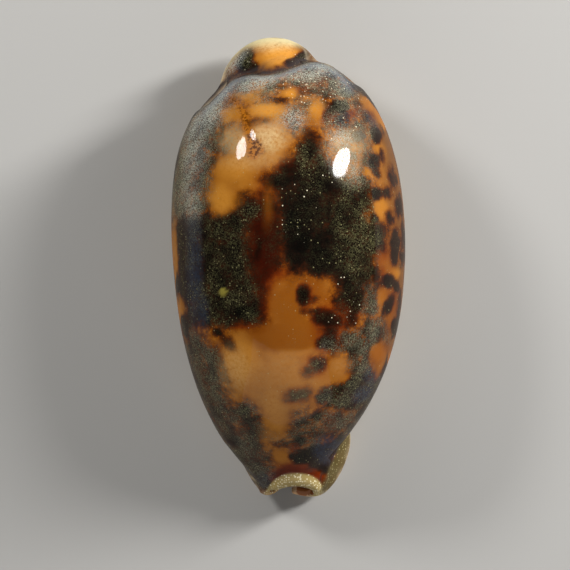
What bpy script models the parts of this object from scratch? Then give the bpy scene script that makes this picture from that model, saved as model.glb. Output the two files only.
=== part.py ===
"""Tortoise cowrie, lying on its base with its back up.

The shell grew as one piece, so it is one solid: a wall that is thin over the back and thick at
the lips, around one hollow that opens along the toothed aperture and at the canal of each end.
Sizes are millimetres in the shell's own frame: +X is the columellar side, +Y the spire end, +Z the
back. The solid is written in metres.
"""

import math

import bmesh
import bpy
import numpy as np

MM = 0.001

# Main body. Its half width narrows towards both ends, and less steeply on the outer lip's side.
SPIRE_END_Y = 53.0
FRONT_END_Y = -58.0
LIP_SIDE_HALF_WIDTH = 30.2
COLUMELLA_SIDE_HALF_WIDTH = 30.3
MARGIN_Z = 17.0
MARGIN_DROP_IN_FRONT = 8.0
MARGIN_DROPS = (-22.0, -58.0)
BACK_HEIGHT = 30.6
BASE_DEPTH = 17.95
BACK_ROUNDNESS = 2.08
BASE_ROUNDNESS = 2.35
SIDES_MEET_OVER = 8.0

# How the half axes narrow to the spire end and to the front, each as (power, fullness).
LIP_SIDE_TAPERS = ((8.9, 0.72), (3.9, 0.69))
COLUMELLA_SIDE_TAPERS = ((5.5, 0.48), (4.9, 1.12))
BACK_TAPERS = ((7.0, 0.56), (3.9, 0.85))
BASE_TAPERS = ((14.0, 0.50), (12.0, 0.50))

# Lumps that merge with the body: the centre, the half axes and the turn about Z in degrees.
SPIRE_BEAK = ((-3.9, 43.5, 12.0), (13.6, 14.2, 12.6), 0.0)
FRONT_SNOUT = ((1.3, -49.6, 8.6), (9.4, 10.4, 7.4), 0.0)
FRONT_FEET = ((1.2, -51.5, 4.1), (8.2, 9.8, 4.2), 0.0)
FRONT_FLANGE = ((10.9, -48.6, 3.8), (3.5, 9.2, 3.8), -23.0)
FRONT_LIP = ((-6.9, -50.4, 4.6), (4.5, 10.2, 4.6), 22.0)
LUMPS = (SPIRE_BEAK, FRONT_SNOUT, FRONT_FEET, FRONT_FLANGE, FRONT_LIP)
MERGE_RADIUS = 0.55

# The spire is sunk in a pit behind the crest of the back.
SPIRE_PIT = ((-4.5, 49.6, 24.0), (6.5, 1.9, 5.0))
SPIRE_PIT_DEPTH = 1.3

# Aperture, from the front canal to the spire canal. A pair is the stretch along Y of a change.
FRONT_APERTURE_X = -1.6
MID_APERTURE_X = -0.4
SPIRE_APERTURE_X = 5.2
FRONT_BEND = (-57.0, -30.0)
SPIRE_BEND = (5.0, 62.0)
MID_HALF_GAP = 2.9
FRONT_HALF_GAP = 3.9
FRONT_TIP_HALF_GAP = 1.9
SPIRE_TIP_HALF_GAP = 2.6
GAP_WIDENS = (-8.0, -42.0)
GAP_NARROWS = (-44.0, -56.0)
GAP_CHANGES_AT_SPIRE = (30.0, 50.0)
LIP_VALLEY_DEPTH = 1.3
LIP_VALLEY_HALF_WIDTH = 6.5
LIP_VALLEY_Z = (12.0, 4.0)

# The line inside the shell from which the rays to its surface start.
SPINE_Z = 15.0
FRONT_SPINE_SHIFT = 2.6
FRONT_SPINE_BENDS = (-25.0, -49.0)
FRONT_SPINE_DROP = 7.0
FRONT_SPINE_DROPS = (-18.0, -49.0)
SPIRE_SPINE_DROP = 3.0
SPIRE_SPINE_DROPS = (20.0, 46.0)

# Wall thickness.
BACK_WALL = 2.1
LIP_WALL = 5.0
CANAL_WALL = 2.8
LIP_THICKNESS_REACH = 20.0
COLUMELLA_RISE = 10.0
COLUMELLA_FROM_LIP = 11.0
COLUMELLA_HALF_WIDTH = 6.0
COLUMELLA_RISES = (0.0, 6.0)
COLUMELLA_FRONT = (-44.0, -30.0)
COLUMELLA_SPIRE = (44.0, 30.0)
THINS_IN_FRONT = (-36.0, -49.0)
THINS_AT_SPIRE = (28.0, 46.0)
THINNED_AT_SPIRE = 0.8

# Teeth: short ridges across both lips.
TOOTH_PITCH = 3.3
TOOTH_COUNT = 27
FIRST_TOOTH_Y = -45.1
TOOTH_HEIGHT = 0.75
TOOTH_REACH_ON_BASE = 3.0
TOOTH_SHARPNESS = 1.5
LAST_TOOTH_Y = FIRST_TOOTH_Y + TOOTH_PITCH * (TOOTH_COUNT - 1)
SMALLEST_TOOTH = 0.35
TEETH_GROW_OVER = 5.0

# The shift that puts the frame's origin under the middle of the shell.
CENTRE_SHIFT = (0.16, 0.22, 0.0)

# Sampling of the wall. Each tooth takes three stations: its crest and the two flanks.
STATIONS_PER_TOOTH = 3
FIRST_BODY_Y = -51.0
LAST_BODY_Y = 46.2
SPIRE_FAN_DEGREES = (3, 6, 9, 12, 15, 18, 22, 27, 32, 38, 44, 50)
FRONT_FAN_DEGREES = (9, 18, 26, 33)
RIM_ANGLES = (90, 55, 18)
LIP_ANGLES = (45, 0, -45)
OUTER_SAMPLES = 25
OUTER_CROWDING = 0.88
INNER_SAMPLES = 13
LONGEST_RAY = 60.0
HALVINGS = 28
NORMAL_STEP = 0.02
CREASE_ANGLE = 50.0

# Fans of rays that close the ends, in degrees: the heading of the canal's mouth, how far the last
# rays lean to it, and how far each lip (1 the outer, -1 the columellar) turns from its place on the body.
SPIRE_FAN = {"yaw": 23.0, "dip": 33.0, "rim": 66.0, "lip_turns": {1: 14.0, -1: 14.0}}
FRONT_FAN = {"yaw": 0.0, "dip": -10.0, "rim": 46.0, "lip_turns": {1: 2.0, -1: -6.0}}
CANAL_MOUTH_RADIUS = 7.0


def ramp(value, start, end):
    """0 at start and 1 at end, with no kink in slope or curvature."""
    t = np.clip((value - start) / (end - start), 0.0, 1.0)
    return t * t * t * (t * (6.0 * t - 15.0) + 10.0)


def taper(y, end_y, far_y, power, fullness):
    """1 over most of the length, falling to 0 at end_y."""
    share = np.clip((y - far_y) / (end_y - far_y), 0.0, 1.0)
    return (1.0 - share**power) ** fullness


def narrowing(y, spire, front):
    """Both ends' tapers, each given as (power, fullness)."""
    to_spire = taper(y, SPIRE_END_Y, FRONT_END_Y, *spire)
    to_front = taper(y, FRONT_END_Y, SPIRE_END_Y, *front)
    return np.maximum(to_spire * to_front, 1e-3)


def body_field(x, y, z):
    """Below 0 inside the main body. The flanks are round above the margin and fuller below it."""
    lip_side = LIP_SIDE_HALF_WIDTH * narrowing(y, *LIP_SIDE_TAPERS)
    columella_side = COLUMELLA_SIDE_HALF_WIDTH * narrowing(y, *COLUMELLA_SIDE_TAPERS)
    drop = MARGIN_DROP_IN_FRONT * ramp(y, *MARGIN_DROPS)
    above = BACK_HEIGHT * narrowing(y, *BACK_TAPERS)
    below = (BASE_DEPTH - drop) * narrowing(y, *BASE_TAPERS)
    side = 0.5 + 0.5 * np.tanh(x / SIDES_MEET_OVER)
    width = lip_side + (columella_side - lip_side) * side
    up = z - (MARGIN_Z - drop)
    height = np.where(up > 0.0, above, below)
    roundness = np.where(up > 0.0, BACK_ROUNDNESS, BASE_ROUNDNESS)
    ratio = (np.abs(x / width) ** roundness + np.abs(up / height) ** roundness) ** (1.0 / roundness)
    return (ratio - 1.0) * np.sqrt(width * height)


def lump_field(x, y, z, lump):
    """Below 0 inside an ellipsoid."""
    centre, half_axes, turn = lump
    cos_turn = math.cos(math.radians(turn))
    sin_turn = math.sin(math.radians(turn))
    dx = x - centre[0]
    dy = y - centre[1]
    along_x = (cos_turn * dx + sin_turn * dy) / half_axes[0]
    along_y = (cos_turn * dy - sin_turn * dx) / half_axes[1]
    along_z = (z - centre[2]) / half_axes[2]
    ratio = np.sqrt(along_x**2 + along_y**2 + along_z**2)
    return (ratio - 1.0) * min(half_axes)


def shell_field(points):
    """Below 0 inside the shell's outer surface, and about the distance in millimetres near it."""
    x, y, z = points[..., 0], points[..., 1], points[..., 2]
    parts = [body_field(x, y, z)]
    parts += [lump_field(x, y, z, lump) for lump in LUMPS]
    merged = -MERGE_RADIUS * np.log(sum(np.exp(-np.clip(p, -60, 60) / MERGE_RADIUS) for p in parts))
    centre, reach = SPIRE_PIT
    from_pit = sum(((v - c) / r) ** 2 for v, c, r in zip((x, y, z), centre, reach))
    valley = np.exp(-(((x - aperture_x(y)) / LIP_VALLEY_HALF_WIDTH) ** 2)) * ramp(z, *LIP_VALLEY_Z)
    return merged + SPIRE_PIT_DEPTH * np.exp(-from_pit) + LIP_VALLEY_DEPTH * valley


def aperture_x(y):
    """The middle line of the aperture, which bends to the columellar side at the spire end."""
    to_middle = (MID_APERTURE_X - FRONT_APERTURE_X) * ramp(y, *FRONT_BEND)
    return FRONT_APERTURE_X + to_middle + (SPIRE_APERTURE_X - MID_APERTURE_X) * ramp(y, *SPIRE_BEND)


def half_gap(y):
    """Half the width of the aperture between its lips."""
    widened = (FRONT_HALF_GAP - MID_HALF_GAP) * ramp(y, *GAP_WIDENS)
    narrowed = (FRONT_HALF_GAP - FRONT_TIP_HALF_GAP) * ramp(y, *GAP_NARROWS)
    at_spire = (SPIRE_TIP_HALF_GAP - MID_HALF_GAP) * ramp(y, *GAP_CHANGES_AT_SPIRE)
    return MID_HALF_GAP + widened - narrowed + at_spire


def spine(y):
    """The line inside the shell from which the rays to its surface start."""
    x = aperture_x(y) + FRONT_SPINE_SHIFT * ramp(y, *FRONT_SPINE_BENDS)
    front_drop = FRONT_SPINE_DROP * ramp(y, *FRONT_SPINE_DROPS)
    z = SPINE_Z - front_drop - SPIRE_SPINE_DROP * ramp(y, *SPIRE_SPINE_DROPS)
    return np.array([x, y, z])


def body_station(y):
    """A flat station across the shell."""
    return {
        "origin": spine(y),
        "right": np.array([1.0, 0.0, 0.0]),
        "up": np.array([0.0, 0.0, 1.0]),
        "ahead": np.array([0.0, 1.0, 0.0]),
        "lean": 0.0,
        "nearness": 0.0,
        "lip_turns": {1: 0.0, -1: 0.0},
        "rim": 1.0,
    }


def fan_station(fan, y, heading, lean_degrees, rim=1.0):
    """A station that leans towards an end. heading is +1 at the spire end and -1 at the front."""
    nearness = ramp(lean_degrees, 0.0, fan["rim"])
    share = lean_degrees / fan["rim"]
    yaw = math.radians(fan["yaw"] * share)
    dip = math.radians(fan["dip"] * share)
    right = np.array([math.cos(yaw), -heading * math.sin(yaw), 0.0])
    level = np.array([heading * math.sin(yaw), math.cos(yaw), 0.0]) * heading
    up = np.array([0.0, 0.0, math.cos(dip)]) + level * math.sin(dip)
    ahead = level * math.cos(dip) - np.array([0.0, 0.0, math.sin(dip)])
    return {
        "origin": spine(y),
        "right": right,
        "up": up,
        "ahead": ahead,
        "lean": math.radians(lean_degrees),
        "nearness": nearness,
        "lip_turns": fan["lip_turns"],
        "rim": rim,
    }


def end_stations(fan, y, heading, fan_degrees):
    """From the body outwards: the leaning stations, then those that round the canal's rim."""
    rounding = math.degrees(0.5 * CANAL_WALL / CANAL_MOUTH_RADIUS)
    made = [fan_station(fan, y, heading, lean) for lean in fan_degrees]
    for angle in RIM_ANGLES:
        back = rounding * (1.0 - math.cos(math.radians(angle)))
        made.append(fan_station(fan, y, heading, fan["rim"] - back, math.sin(math.radians(angle))))
    return made


def all_stations():
    """Every station in order, from the front canal's rim to the spire canal's."""
    step = TOOTH_PITCH / STATIONS_PER_TOOTH
    first = FIRST_TOOTH_Y + step * round((FIRST_BODY_Y - FIRST_TOOTH_Y) / step)
    last = FIRST_TOOTH_Y + step * round((LAST_BODY_Y - FIRST_TOOTH_Y) / step)
    count = round((last - first) / step) + 1
    front = end_stations(FRONT_FAN, first, -1, FRONT_FAN_DEGREES)
    body = [body_station(first + step * i) for i in range(count)]
    spire = end_stations(SPIRE_FAN, last, 1, SPIRE_FAN_DEGREES)
    return front[::-1] + body + spire


def surface_points(station, angles):
    """Where rays at these angles, counted from straight down towards the outer lip, leave the shell."""
    angles = np.atleast_1d(angles)[:, None]
    across = -np.sin(angles) * station["right"] - np.cos(angles) * station["up"]
    rays = math.cos(station["lean"]) * across + math.sin(station["lean"]) * station["ahead"]
    near = np.zeros((len(rays), 1))
    far = np.full((len(rays), 1), LONGEST_RAY)
    for _ in range(HALVINGS):
        middle = 0.5 * (near + far)
        inside = shell_field(station["origin"] + middle * rays)[:, None] < 0.0
        near = np.where(inside, middle, near)
        far = np.where(inside, far, middle)
    return station["origin"] + near * rays


def outward(points):
    """The unit normals of the outer surface."""
    steps = NORMAL_STEP * np.eye(3)
    slopes = [shell_field(points + step) - shell_field(points - step) for step in steps]
    normals = np.stack(slopes, axis=-1)
    return normals / np.linalg.norm(normals, axis=-1, keepdims=True)


def wall_at(station, points, from_lip, columellar):
    """The wall's thickness. from_lip is the distance to the nearer lip, columellar where that is the inner one."""
    y = points[:, 1]
    plain = BACK_WALL + (LIP_WALL - BACK_WALL) * (1.0 - ramp(from_lip, 0.0, LIP_THICKNESS_REACH))
    fold = np.exp(-(((from_lip - COLUMELLA_FROM_LIP) / COLUMELLA_HALF_WIDTH) ** 2))
    fold *= ramp(from_lip, *COLUMELLA_RISES) * ramp(y, *COLUMELLA_FRONT) * ramp(y, *COLUMELLA_SPIRE)
    wall = plain + np.where(columellar, COLUMELLA_RISE * fold, 0.0)
    start_y = station["origin"][1]
    at_spire = THINNED_AT_SPIRE * ramp(start_y, *THINS_AT_SPIRE)
    towards_canal = max(ramp(start_y, *THINS_IN_FRONT), at_spire)
    thinned = towards_canal + (1.0 - towards_canal) * station["nearness"]
    return wall + (CANAL_WALL - wall) * thinned


def tooth_ridge(y):
    """1 on the crest of each tooth and 0 beside it, fading out at both ends of the rows."""
    phase = (y - FIRST_TOOTH_Y) / TOOTH_PITCH
    ridge = np.maximum(0.0, np.cos(2.0 * math.pi * phase)) ** TOOTH_SHARPNESS
    grown = ramp(y, FIRST_TOOTH_Y - 2.0, FIRST_TOOTH_Y + TEETH_GROW_OVER)
    grown = grown * ramp(y, LAST_TOOTH_Y + 2.0, LAST_TOOTH_Y - TEETH_GROW_OVER)
    there = np.abs(y - 0.5 * (FIRST_TOOTH_Y + LAST_TOOTH_Y)) < 0.5 * (LAST_TOOTH_Y - FIRST_TOOTH_Y) + 1.0
    return ridge * (SMALLEST_TOOTH + (1.0 - SMALLEST_TOOTH) * grown) * there


def lip_angle(station, side):
    """The ray's angle at which a lip stops being round. side is 1 on the outer lip and -1 on the other."""
    start = station["origin"]
    under = surface_points(body_station(start[1]), 0.0)[0]
    wall = wall_at(station, under[None], np.zeros(1), np.zeros(1, bool))[0]
    aside = side * (start[0] - aperture_x(start[1])) + half_gap(start[1]) + 0.5 * wall
    turn = math.radians(station["lip_turns"][side]) * station["nearness"]
    return math.atan2(aside, start[2] - under[2]) + turn


def rounded_lip(station, outer, normal, wall, tangent, angles):
    """A half round of the wall's thickness, with its tooth, around the middle of the wall."""
    radius = 0.5 * wall * station["rim"]
    centre = outer - 0.5 * wall * normal
    turns = np.radians(np.array(angles))[:, None]
    tooth = TOOTH_HEIGHT * tooth_ridge(outer[1]) * (station["lean"] == 0.0)
    reach = 0.5 * wall + tooth * np.cos(turns) ** 0.5
    up_share = np.sin(turns) * normal * (radius + tooth)
    return centre - np.cos(turns) * tangent * reach + up_share


def along(points):
    """The distance run along a row of points, from its first."""
    steps = np.linalg.norm(np.diff(points, axis=0), axis=1)
    return np.concatenate([[0.0], np.cumsum(steps)])


def lining_picks():
    """Which outside points the coarser inside takes, from the columellar lip back to the outer lip."""
    return np.round(np.linspace(OUTER_SAMPLES - 1, 0, INNER_SAMPLES)).astype(int)


def station_loop(station):
    """One closed loop round the wall: outer lip, outside, columellar lip, inside."""
    start = lip_angle(station, 1)
    stop = 2.0 * math.pi - lip_angle(station, -1)
    share = np.linspace(-1.0, 1.0, OUTER_SAMPLES)
    share = 0.5 + 0.5 * np.sign(share) * np.abs(share) ** OUTER_CROWDING
    outside = surface_points(station, start + (stop - start) * share)
    normals = outward(outside)
    run = along(outside)
    radius = 0.5 * LIP_WALL
    from_outer_lip = run + radius
    from_columella = run[-1] - run + radius
    columellar = from_columella < from_outer_lip
    from_lip = np.minimum(from_outer_lip, from_columella)
    wall = wall_at(station, outside, from_lip, columellar)
    ridge = TOOTH_HEIGHT * tooth_ridge(outside[:, 1]) * (station["lean"] == 0.0)
    ridge = ridge * (1.0 - ramp(from_lip, radius, radius + TOOTH_REACH_ON_BASE))
    middle = outside - 0.5 * wall[:, None] * normals
    thin = 0.5 * wall[:, None] * station["rim"]
    skin = middle + normals * (thin + ridge[:, None])
    lining = middle - normals * thin
    first_run = (outside[1] - outside[0]) / np.linalg.norm(outside[1] - outside[0])
    last_run = (outside[-2] - outside[-1]) / np.linalg.norm(outside[-2] - outside[-1])
    outer_lip = rounded_lip(station, outside[0], normals[0], wall[0], first_run, LIP_ANGLES[::-1])
    inner_lip = rounded_lip(station, outside[-1], normals[-1], wall[-1], last_run, LIP_ANGLES)
    loop = np.concatenate([outer_lip, skin, inner_lip, lining[lining_picks()]])
    loop[:, 2] = np.maximum(loop[:, 2], 0.0)
    return loop


def rim_faces(row):
    """The faces that close an end: the band between the row's outside and its inside."""
    lips = len(LIP_ANGLES)
    picks = lining_picks()
    outside = row[lips : lips + OUTER_SAMPLES]
    inside = row[2 * lips + OUTER_SAMPLES :]
    faces = [row[:lips] + [outside[0], inside[-1]]]
    faces.append([outside[-1]] + row[lips + OUTER_SAMPLES : 2 * lips + OUTER_SAMPLES] + [inside[0]])
    for i, (start, stop) in enumerate(zip(picks, picks[1:])):
        faces.append([inside[i]] + [outside[j] for j in range(start, stop - 1, -1)] + [inside[i + 1]])
    return faces


def loft(name, loops):
    """A closed solid through the loops, whose ends stay open between the lips."""
    mesh = bpy.data.meshes.new(name)
    shape = bmesh.new()
    rows = [[shape.verts.new((point + CENTRE_SHIFT) * MM) for point in loop] for loop in loops]
    girth = len(rows[0])
    for row, following in zip(rows, rows[1:]):
        for i in range(girth):
            j = (i + 1) % girth
            shape.faces.new((row[i], row[j], following[j], following[i]))
    for face in rim_faces(rows[0]) + rim_faces(rows[-1]):
        shape.faces.new(face)
    bmesh.ops.recalc_face_normals(shape, faces=shape.faces)
    bmesh.ops.triangulate(shape, faces=[f for f in shape.faces if len(f.verts) > 4])
    shape.to_mesh(mesh)
    shape.free()
    made = bpy.data.objects.new(name, mesh)
    return made


def enamel():
    """Glossy tortoiseshell-brown enamel."""
    material = bpy.data.materials.new("shell_enamel")
    material.use_nodes = True
    shader = material.node_tree.nodes["Principled BSDF"]
    shader.inputs["Base Color"].default_value = (0.33, 0.15, 0.045, 1.0)
    shader.inputs["Roughness"].default_value = 0.18
    shader.inputs["Metallic"].default_value = 0.0
    return material


def clear_scene():
    for old in list(bpy.data.objects):
        bpy.data.objects.remove(old)


def main():
    clear_scene()
    collection = bpy.data.collections.new("tortoise_cowrie")
    bpy.context.scene.collection.children.link(collection)
    shell = loft("cowrie_shell", [station_loop(station) for station in all_stations()])
    collection.objects.link(shell)
    shell.data.materials.append(enamel())
    shell.data.shade_smooth()
    shell.data.set_sharp_from_angle(angle=math.radians(CREASE_ANGLE))


main()
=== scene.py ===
"""The look of the tortoise cowrie: its shell at full detail, with its markings, lying on a plain floor.

Sizes are millimetres in the shell's own frame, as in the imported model's source: +X is the columellar side,
+Y the spire end, +Z the back. The mesh is written in metres.
"""

import math

import bpy
import numpy as np
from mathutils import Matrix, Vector, noise


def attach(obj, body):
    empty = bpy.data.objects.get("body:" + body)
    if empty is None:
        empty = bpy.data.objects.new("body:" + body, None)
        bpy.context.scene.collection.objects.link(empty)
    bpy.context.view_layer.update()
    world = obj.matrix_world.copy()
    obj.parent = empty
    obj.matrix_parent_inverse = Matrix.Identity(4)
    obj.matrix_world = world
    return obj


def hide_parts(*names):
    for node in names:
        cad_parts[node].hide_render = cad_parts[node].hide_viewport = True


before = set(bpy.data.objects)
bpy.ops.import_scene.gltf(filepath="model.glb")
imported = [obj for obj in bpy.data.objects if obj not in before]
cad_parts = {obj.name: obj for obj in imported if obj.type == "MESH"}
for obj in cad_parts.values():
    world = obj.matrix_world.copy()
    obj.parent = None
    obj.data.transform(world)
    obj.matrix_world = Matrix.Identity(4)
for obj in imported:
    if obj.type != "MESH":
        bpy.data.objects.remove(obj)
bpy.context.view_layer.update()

MM = 0.001

# Main body. Its half width narrows towards both ends, and less steeply on the outer lip's side.
SPIRE_END_Y = 53.0
FRONT_END_Y = -58.0
LIP_SIDE_HALF_WIDTH = 30.2
COLUMELLA_SIDE_HALF_WIDTH = 30.3
MARGIN_Z = 17.0
MARGIN_DROP_IN_FRONT = 8.0
MARGIN_DROPS = (-22.0, -58.0)
BACK_HEIGHT = 30.6
BASE_DEPTH = 17.95
BACK_ROUNDNESS = 2.08
BASE_ROUNDNESS = 2.35
SIDES_MEET_OVER = 8.0

# How the half axes narrow to the spire end and to the front, each as (power, fullness).
LIP_SIDE_TAPERS = ((8.9, 0.72), (3.9, 0.69))
COLUMELLA_SIDE_TAPERS = ((5.5, 0.48), (4.9, 1.12))
BACK_TAPERS = ((7.0, 0.56), (3.9, 0.85))
BASE_TAPERS = ((14.0, 0.50), (12.0, 0.50))

# Lumps that merge with the body: the centre, the half axes and the turn about Z in degrees.
SPIRE_BEAK = ((-3.9, 43.5, 12.0), (13.6, 14.2, 12.6), 0.0)
FRONT_SNOUT = ((1.3, -49.6, 8.6), (9.4, 10.4, 7.4), 0.0)
FRONT_FEET = ((1.2, -51.5, 4.1), (8.2, 9.8, 4.2), 0.0)
FRONT_FLANGE = ((10.9, -48.6, 3.8), (3.5, 9.2, 3.8), -23.0)
FRONT_LIP = ((-6.9, -50.4, 4.6), (4.5, 10.2, 4.6), 22.0)
LUMPS = (SPIRE_BEAK, FRONT_SNOUT, FRONT_FEET, FRONT_FLANGE, FRONT_LIP)
MERGE_RADIUS = 0.55

# The spire is sunk in a pit behind the crest of the back.
SPIRE_PIT = ((-4.5, 49.6, 24.0), (6.5, 1.9, 5.0))
SPIRE_PIT_DEPTH = 1.3

# Aperture, from the front canal to the spire canal. A pair is the stretch along Y of a change.
FRONT_APERTURE_X = -1.6
MID_APERTURE_X = -0.4
SPIRE_APERTURE_X = 5.2
FRONT_BEND = (-57.0, -30.0)
SPIRE_BEND = (5.0, 62.0)
MID_HALF_GAP = 2.9
FRONT_HALF_GAP = 3.9
FRONT_TIP_HALF_GAP = 1.9
SPIRE_TIP_HALF_GAP = 2.6
GAP_WIDENS = (-8.0, -42.0)
GAP_NARROWS = (-44.0, -56.0)
GAP_CHANGES_AT_SPIRE = (30.0, 50.0)
LIP_VALLEY_DEPTH = 1.3
LIP_VALLEY_HALF_WIDTH = 6.5
LIP_VALLEY_Z = (12.0, 4.0)

# The line inside the shell from which the rays to its surface start.
SPINE_Z = 15.0
FRONT_SPINE_SHIFT = 2.6
FRONT_SPINE_BENDS = (-25.0, -49.0)
FRONT_SPINE_DROP = 7.0
FRONT_SPINE_DROPS = (-18.0, -49.0)
SPIRE_SPINE_DROP = 3.0
SPIRE_SPINE_DROPS = (20.0, 46.0)

# Wall thickness.
BACK_WALL = 2.1
LIP_WALL = 5.0
CANAL_WALL = 2.8
LIP_THICKNESS_REACH = 20.0
COLUMELLA_RISE = 10.0
COLUMELLA_FROM_LIP = 11.0
COLUMELLA_HALF_WIDTH = 6.0
COLUMELLA_RISES = (0.0, 6.0)
COLUMELLA_FRONT = (-44.0, -30.0)
COLUMELLA_SPIRE = (44.0, 30.0)
THINS_IN_FRONT = (-36.0, -49.0)
THINS_AT_SPIRE = (28.0, 46.0)
THINNED_AT_SPIRE = 0.8

# Teeth: short ridges across both lips.
TOOTH_PITCH = 3.3
TOOTH_COUNT = 27
FIRST_TOOTH_Y = -45.1
TOOTH_HEIGHT = 0.75
TOOTH_REACH = 3.0
TOOTH_SHARPNESS = 1.5
LAST_TOOTH_Y = FIRST_TOOTH_Y + TOOTH_PITCH * (TOOTH_COUNT - 1)
SMALLEST_TOOTH = 0.35
TEETH_GROW_OVER = 5.0

# The shift that puts the frame's origin under the middle of the shell.
CENTRE_SHIFT = np.array((0.16, 0.22, 0.0))

# Sampling of the wall before it is subdivided once.
ROWS_PER_TOOTH = 3
FIRST_BODY_Y = -50.6
LAST_BODY_Y = 46.2
FRONT_FAN_ROWS = 7
SPIRE_FAN_ROWS = 18
RIM_ANGLES = (67, 45, 22, 0)
LIP_ANGLES = (75, 45, 15, -15, -45, -75)
SKIN_SAMPLES = 94
EVEN_SHARE = 0.8

# Rays to the surface: their length, the halvings that find it and the step that measures its slope.
RAY_LENGTH = 60.0
HALVINGS = 26
NORMAL_STEP = 0.02

# Further than any distance on the shell.
FAR = 1e9

# Fans of rays that close the ends, in degrees: the heading of the canal's mouth, how far the last
# rays lean to it, and how far the outer lip and the columellar lip turn from their places on the body.
SPIRE_FAN = {"yaw": 23.0, "dip": 33.0, "rim": 66.0, "outer_turn": 14.0, "inner_turn": 14.0}
FRONT_FAN = {"yaw": 0.0, "dip": -10.0, "rim": 46.0, "outer_turn": 2.0, "inner_turn": -6.0}
CANAL_MOUTH_RADIUS = 7.0


def ramp(value, start, end):
    """0 at start and 1 at end, with no kink in slope or curvature."""
    t = np.clip((value - start) / (end - start), 0.0, 1.0)
    return t * t * t * (t * (6.0 * t - 15.0) + 10.0)


def taper(y, end_y, far_y, power, fullness):
    """1 over most of the length, falling to 0 at end_y."""
    share = np.clip((y - far_y) / (end_y - far_y), 0.0, 1.0)
    return (1.0 - share**power) ** fullness


def narrowing(y, spire, front):
    """Both ends' tapers, each given as (power, fullness)."""
    to_spire = taper(y, SPIRE_END_Y, FRONT_END_Y, *spire)
    to_front = taper(y, FRONT_END_Y, SPIRE_END_Y, *front)
    return np.maximum(to_spire * to_front, 1e-3)


def body_field(x, y, z):
    """Below 0 inside the main body. The flanks are round above the margin and fuller below it."""
    lip_side = LIP_SIDE_HALF_WIDTH * narrowing(y, *LIP_SIDE_TAPERS)
    columella_side = COLUMELLA_SIDE_HALF_WIDTH * narrowing(y, *COLUMELLA_SIDE_TAPERS)
    drop = MARGIN_DROP_IN_FRONT * ramp(y, *MARGIN_DROPS)
    above = BACK_HEIGHT * narrowing(y, *BACK_TAPERS)
    below = (BASE_DEPTH - drop) * narrowing(y, *BASE_TAPERS)
    side = 0.5 + 0.5 * np.tanh(x / SIDES_MEET_OVER)
    width = lip_side + (columella_side - lip_side) * side
    up = z - (MARGIN_Z - drop)
    height = np.where(up > 0.0, above, below)
    roundness = np.where(up > 0.0, BACK_ROUNDNESS, BASE_ROUNDNESS)
    ratio = (np.abs(x / width) ** roundness + np.abs(up / height) ** roundness) ** (1.0 / roundness)
    return (ratio - 1.0) * np.sqrt(width * height)


def lump_field(x, y, z, lump):
    """Below 0 inside an ellipsoid."""
    centre, half_axes, turn = lump
    cos_turn = math.cos(math.radians(turn))
    sin_turn = math.sin(math.radians(turn))
    dx = x - centre[0]
    dy = y - centre[1]
    along_x = (cos_turn * dx + sin_turn * dy) / half_axes[0]
    along_y = (cos_turn * dy - sin_turn * dx) / half_axes[1]
    along_z = (z - centre[2]) / half_axes[2]
    ratio = np.sqrt(along_x**2 + along_y**2 + along_z**2)
    return (ratio - 1.0) * min(half_axes)


def shell_field(points):
    """Below 0 inside the shell's outer surface, and about the distance in millimetres near it."""
    x, y, z = points[..., 0], points[..., 1], points[..., 2]
    parts = [body_field(x, y, z)]
    parts += [lump_field(x, y, z, lump) for lump in LUMPS]
    merged = -MERGE_RADIUS * np.log(sum(np.exp(-np.clip(p, -60, 60) / MERGE_RADIUS) for p in parts))
    centre, reach = SPIRE_PIT
    from_pit = sum(((v - c) / r) ** 2 for v, c, r in zip((x, y, z), centre, reach))
    valley = np.exp(-(((x - aperture_x(y)) / LIP_VALLEY_HALF_WIDTH) ** 2)) * ramp(z, *LIP_VALLEY_Z)
    return merged + SPIRE_PIT_DEPTH * np.exp(-from_pit) + LIP_VALLEY_DEPTH * valley


def aperture_x(y):
    """The middle line of the aperture, which bends to the columellar side at the spire end."""
    to_middle = (MID_APERTURE_X - FRONT_APERTURE_X) * ramp(y, *FRONT_BEND)
    return FRONT_APERTURE_X + to_middle + (SPIRE_APERTURE_X - MID_APERTURE_X) * ramp(y, *SPIRE_BEND)


def half_gap(y):
    """Half the width of the aperture between its lips."""
    widened = (FRONT_HALF_GAP - MID_HALF_GAP) * ramp(y, *GAP_WIDENS)
    narrowed = (FRONT_HALF_GAP - FRONT_TIP_HALF_GAP) * ramp(y, *GAP_NARROWS)
    at_spire = (SPIRE_TIP_HALF_GAP - MID_HALF_GAP) * ramp(y, *GAP_CHANGES_AT_SPIRE)
    return MID_HALF_GAP + widened - narrowed + at_spire


def spine(y):
    """The line inside the shell from which the rays to its surface start."""
    x = aperture_x(y) + FRONT_SPINE_SHIFT * ramp(y, *FRONT_SPINE_BENDS)
    front_drop = FRONT_SPINE_DROP * ramp(y, *FRONT_SPINE_DROPS)
    z = SPINE_Z - front_drop - SPIRE_SPINE_DROP * ramp(y, *SPIRE_SPINE_DROPS)
    return np.stack([x, y, z], axis=-1)


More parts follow.
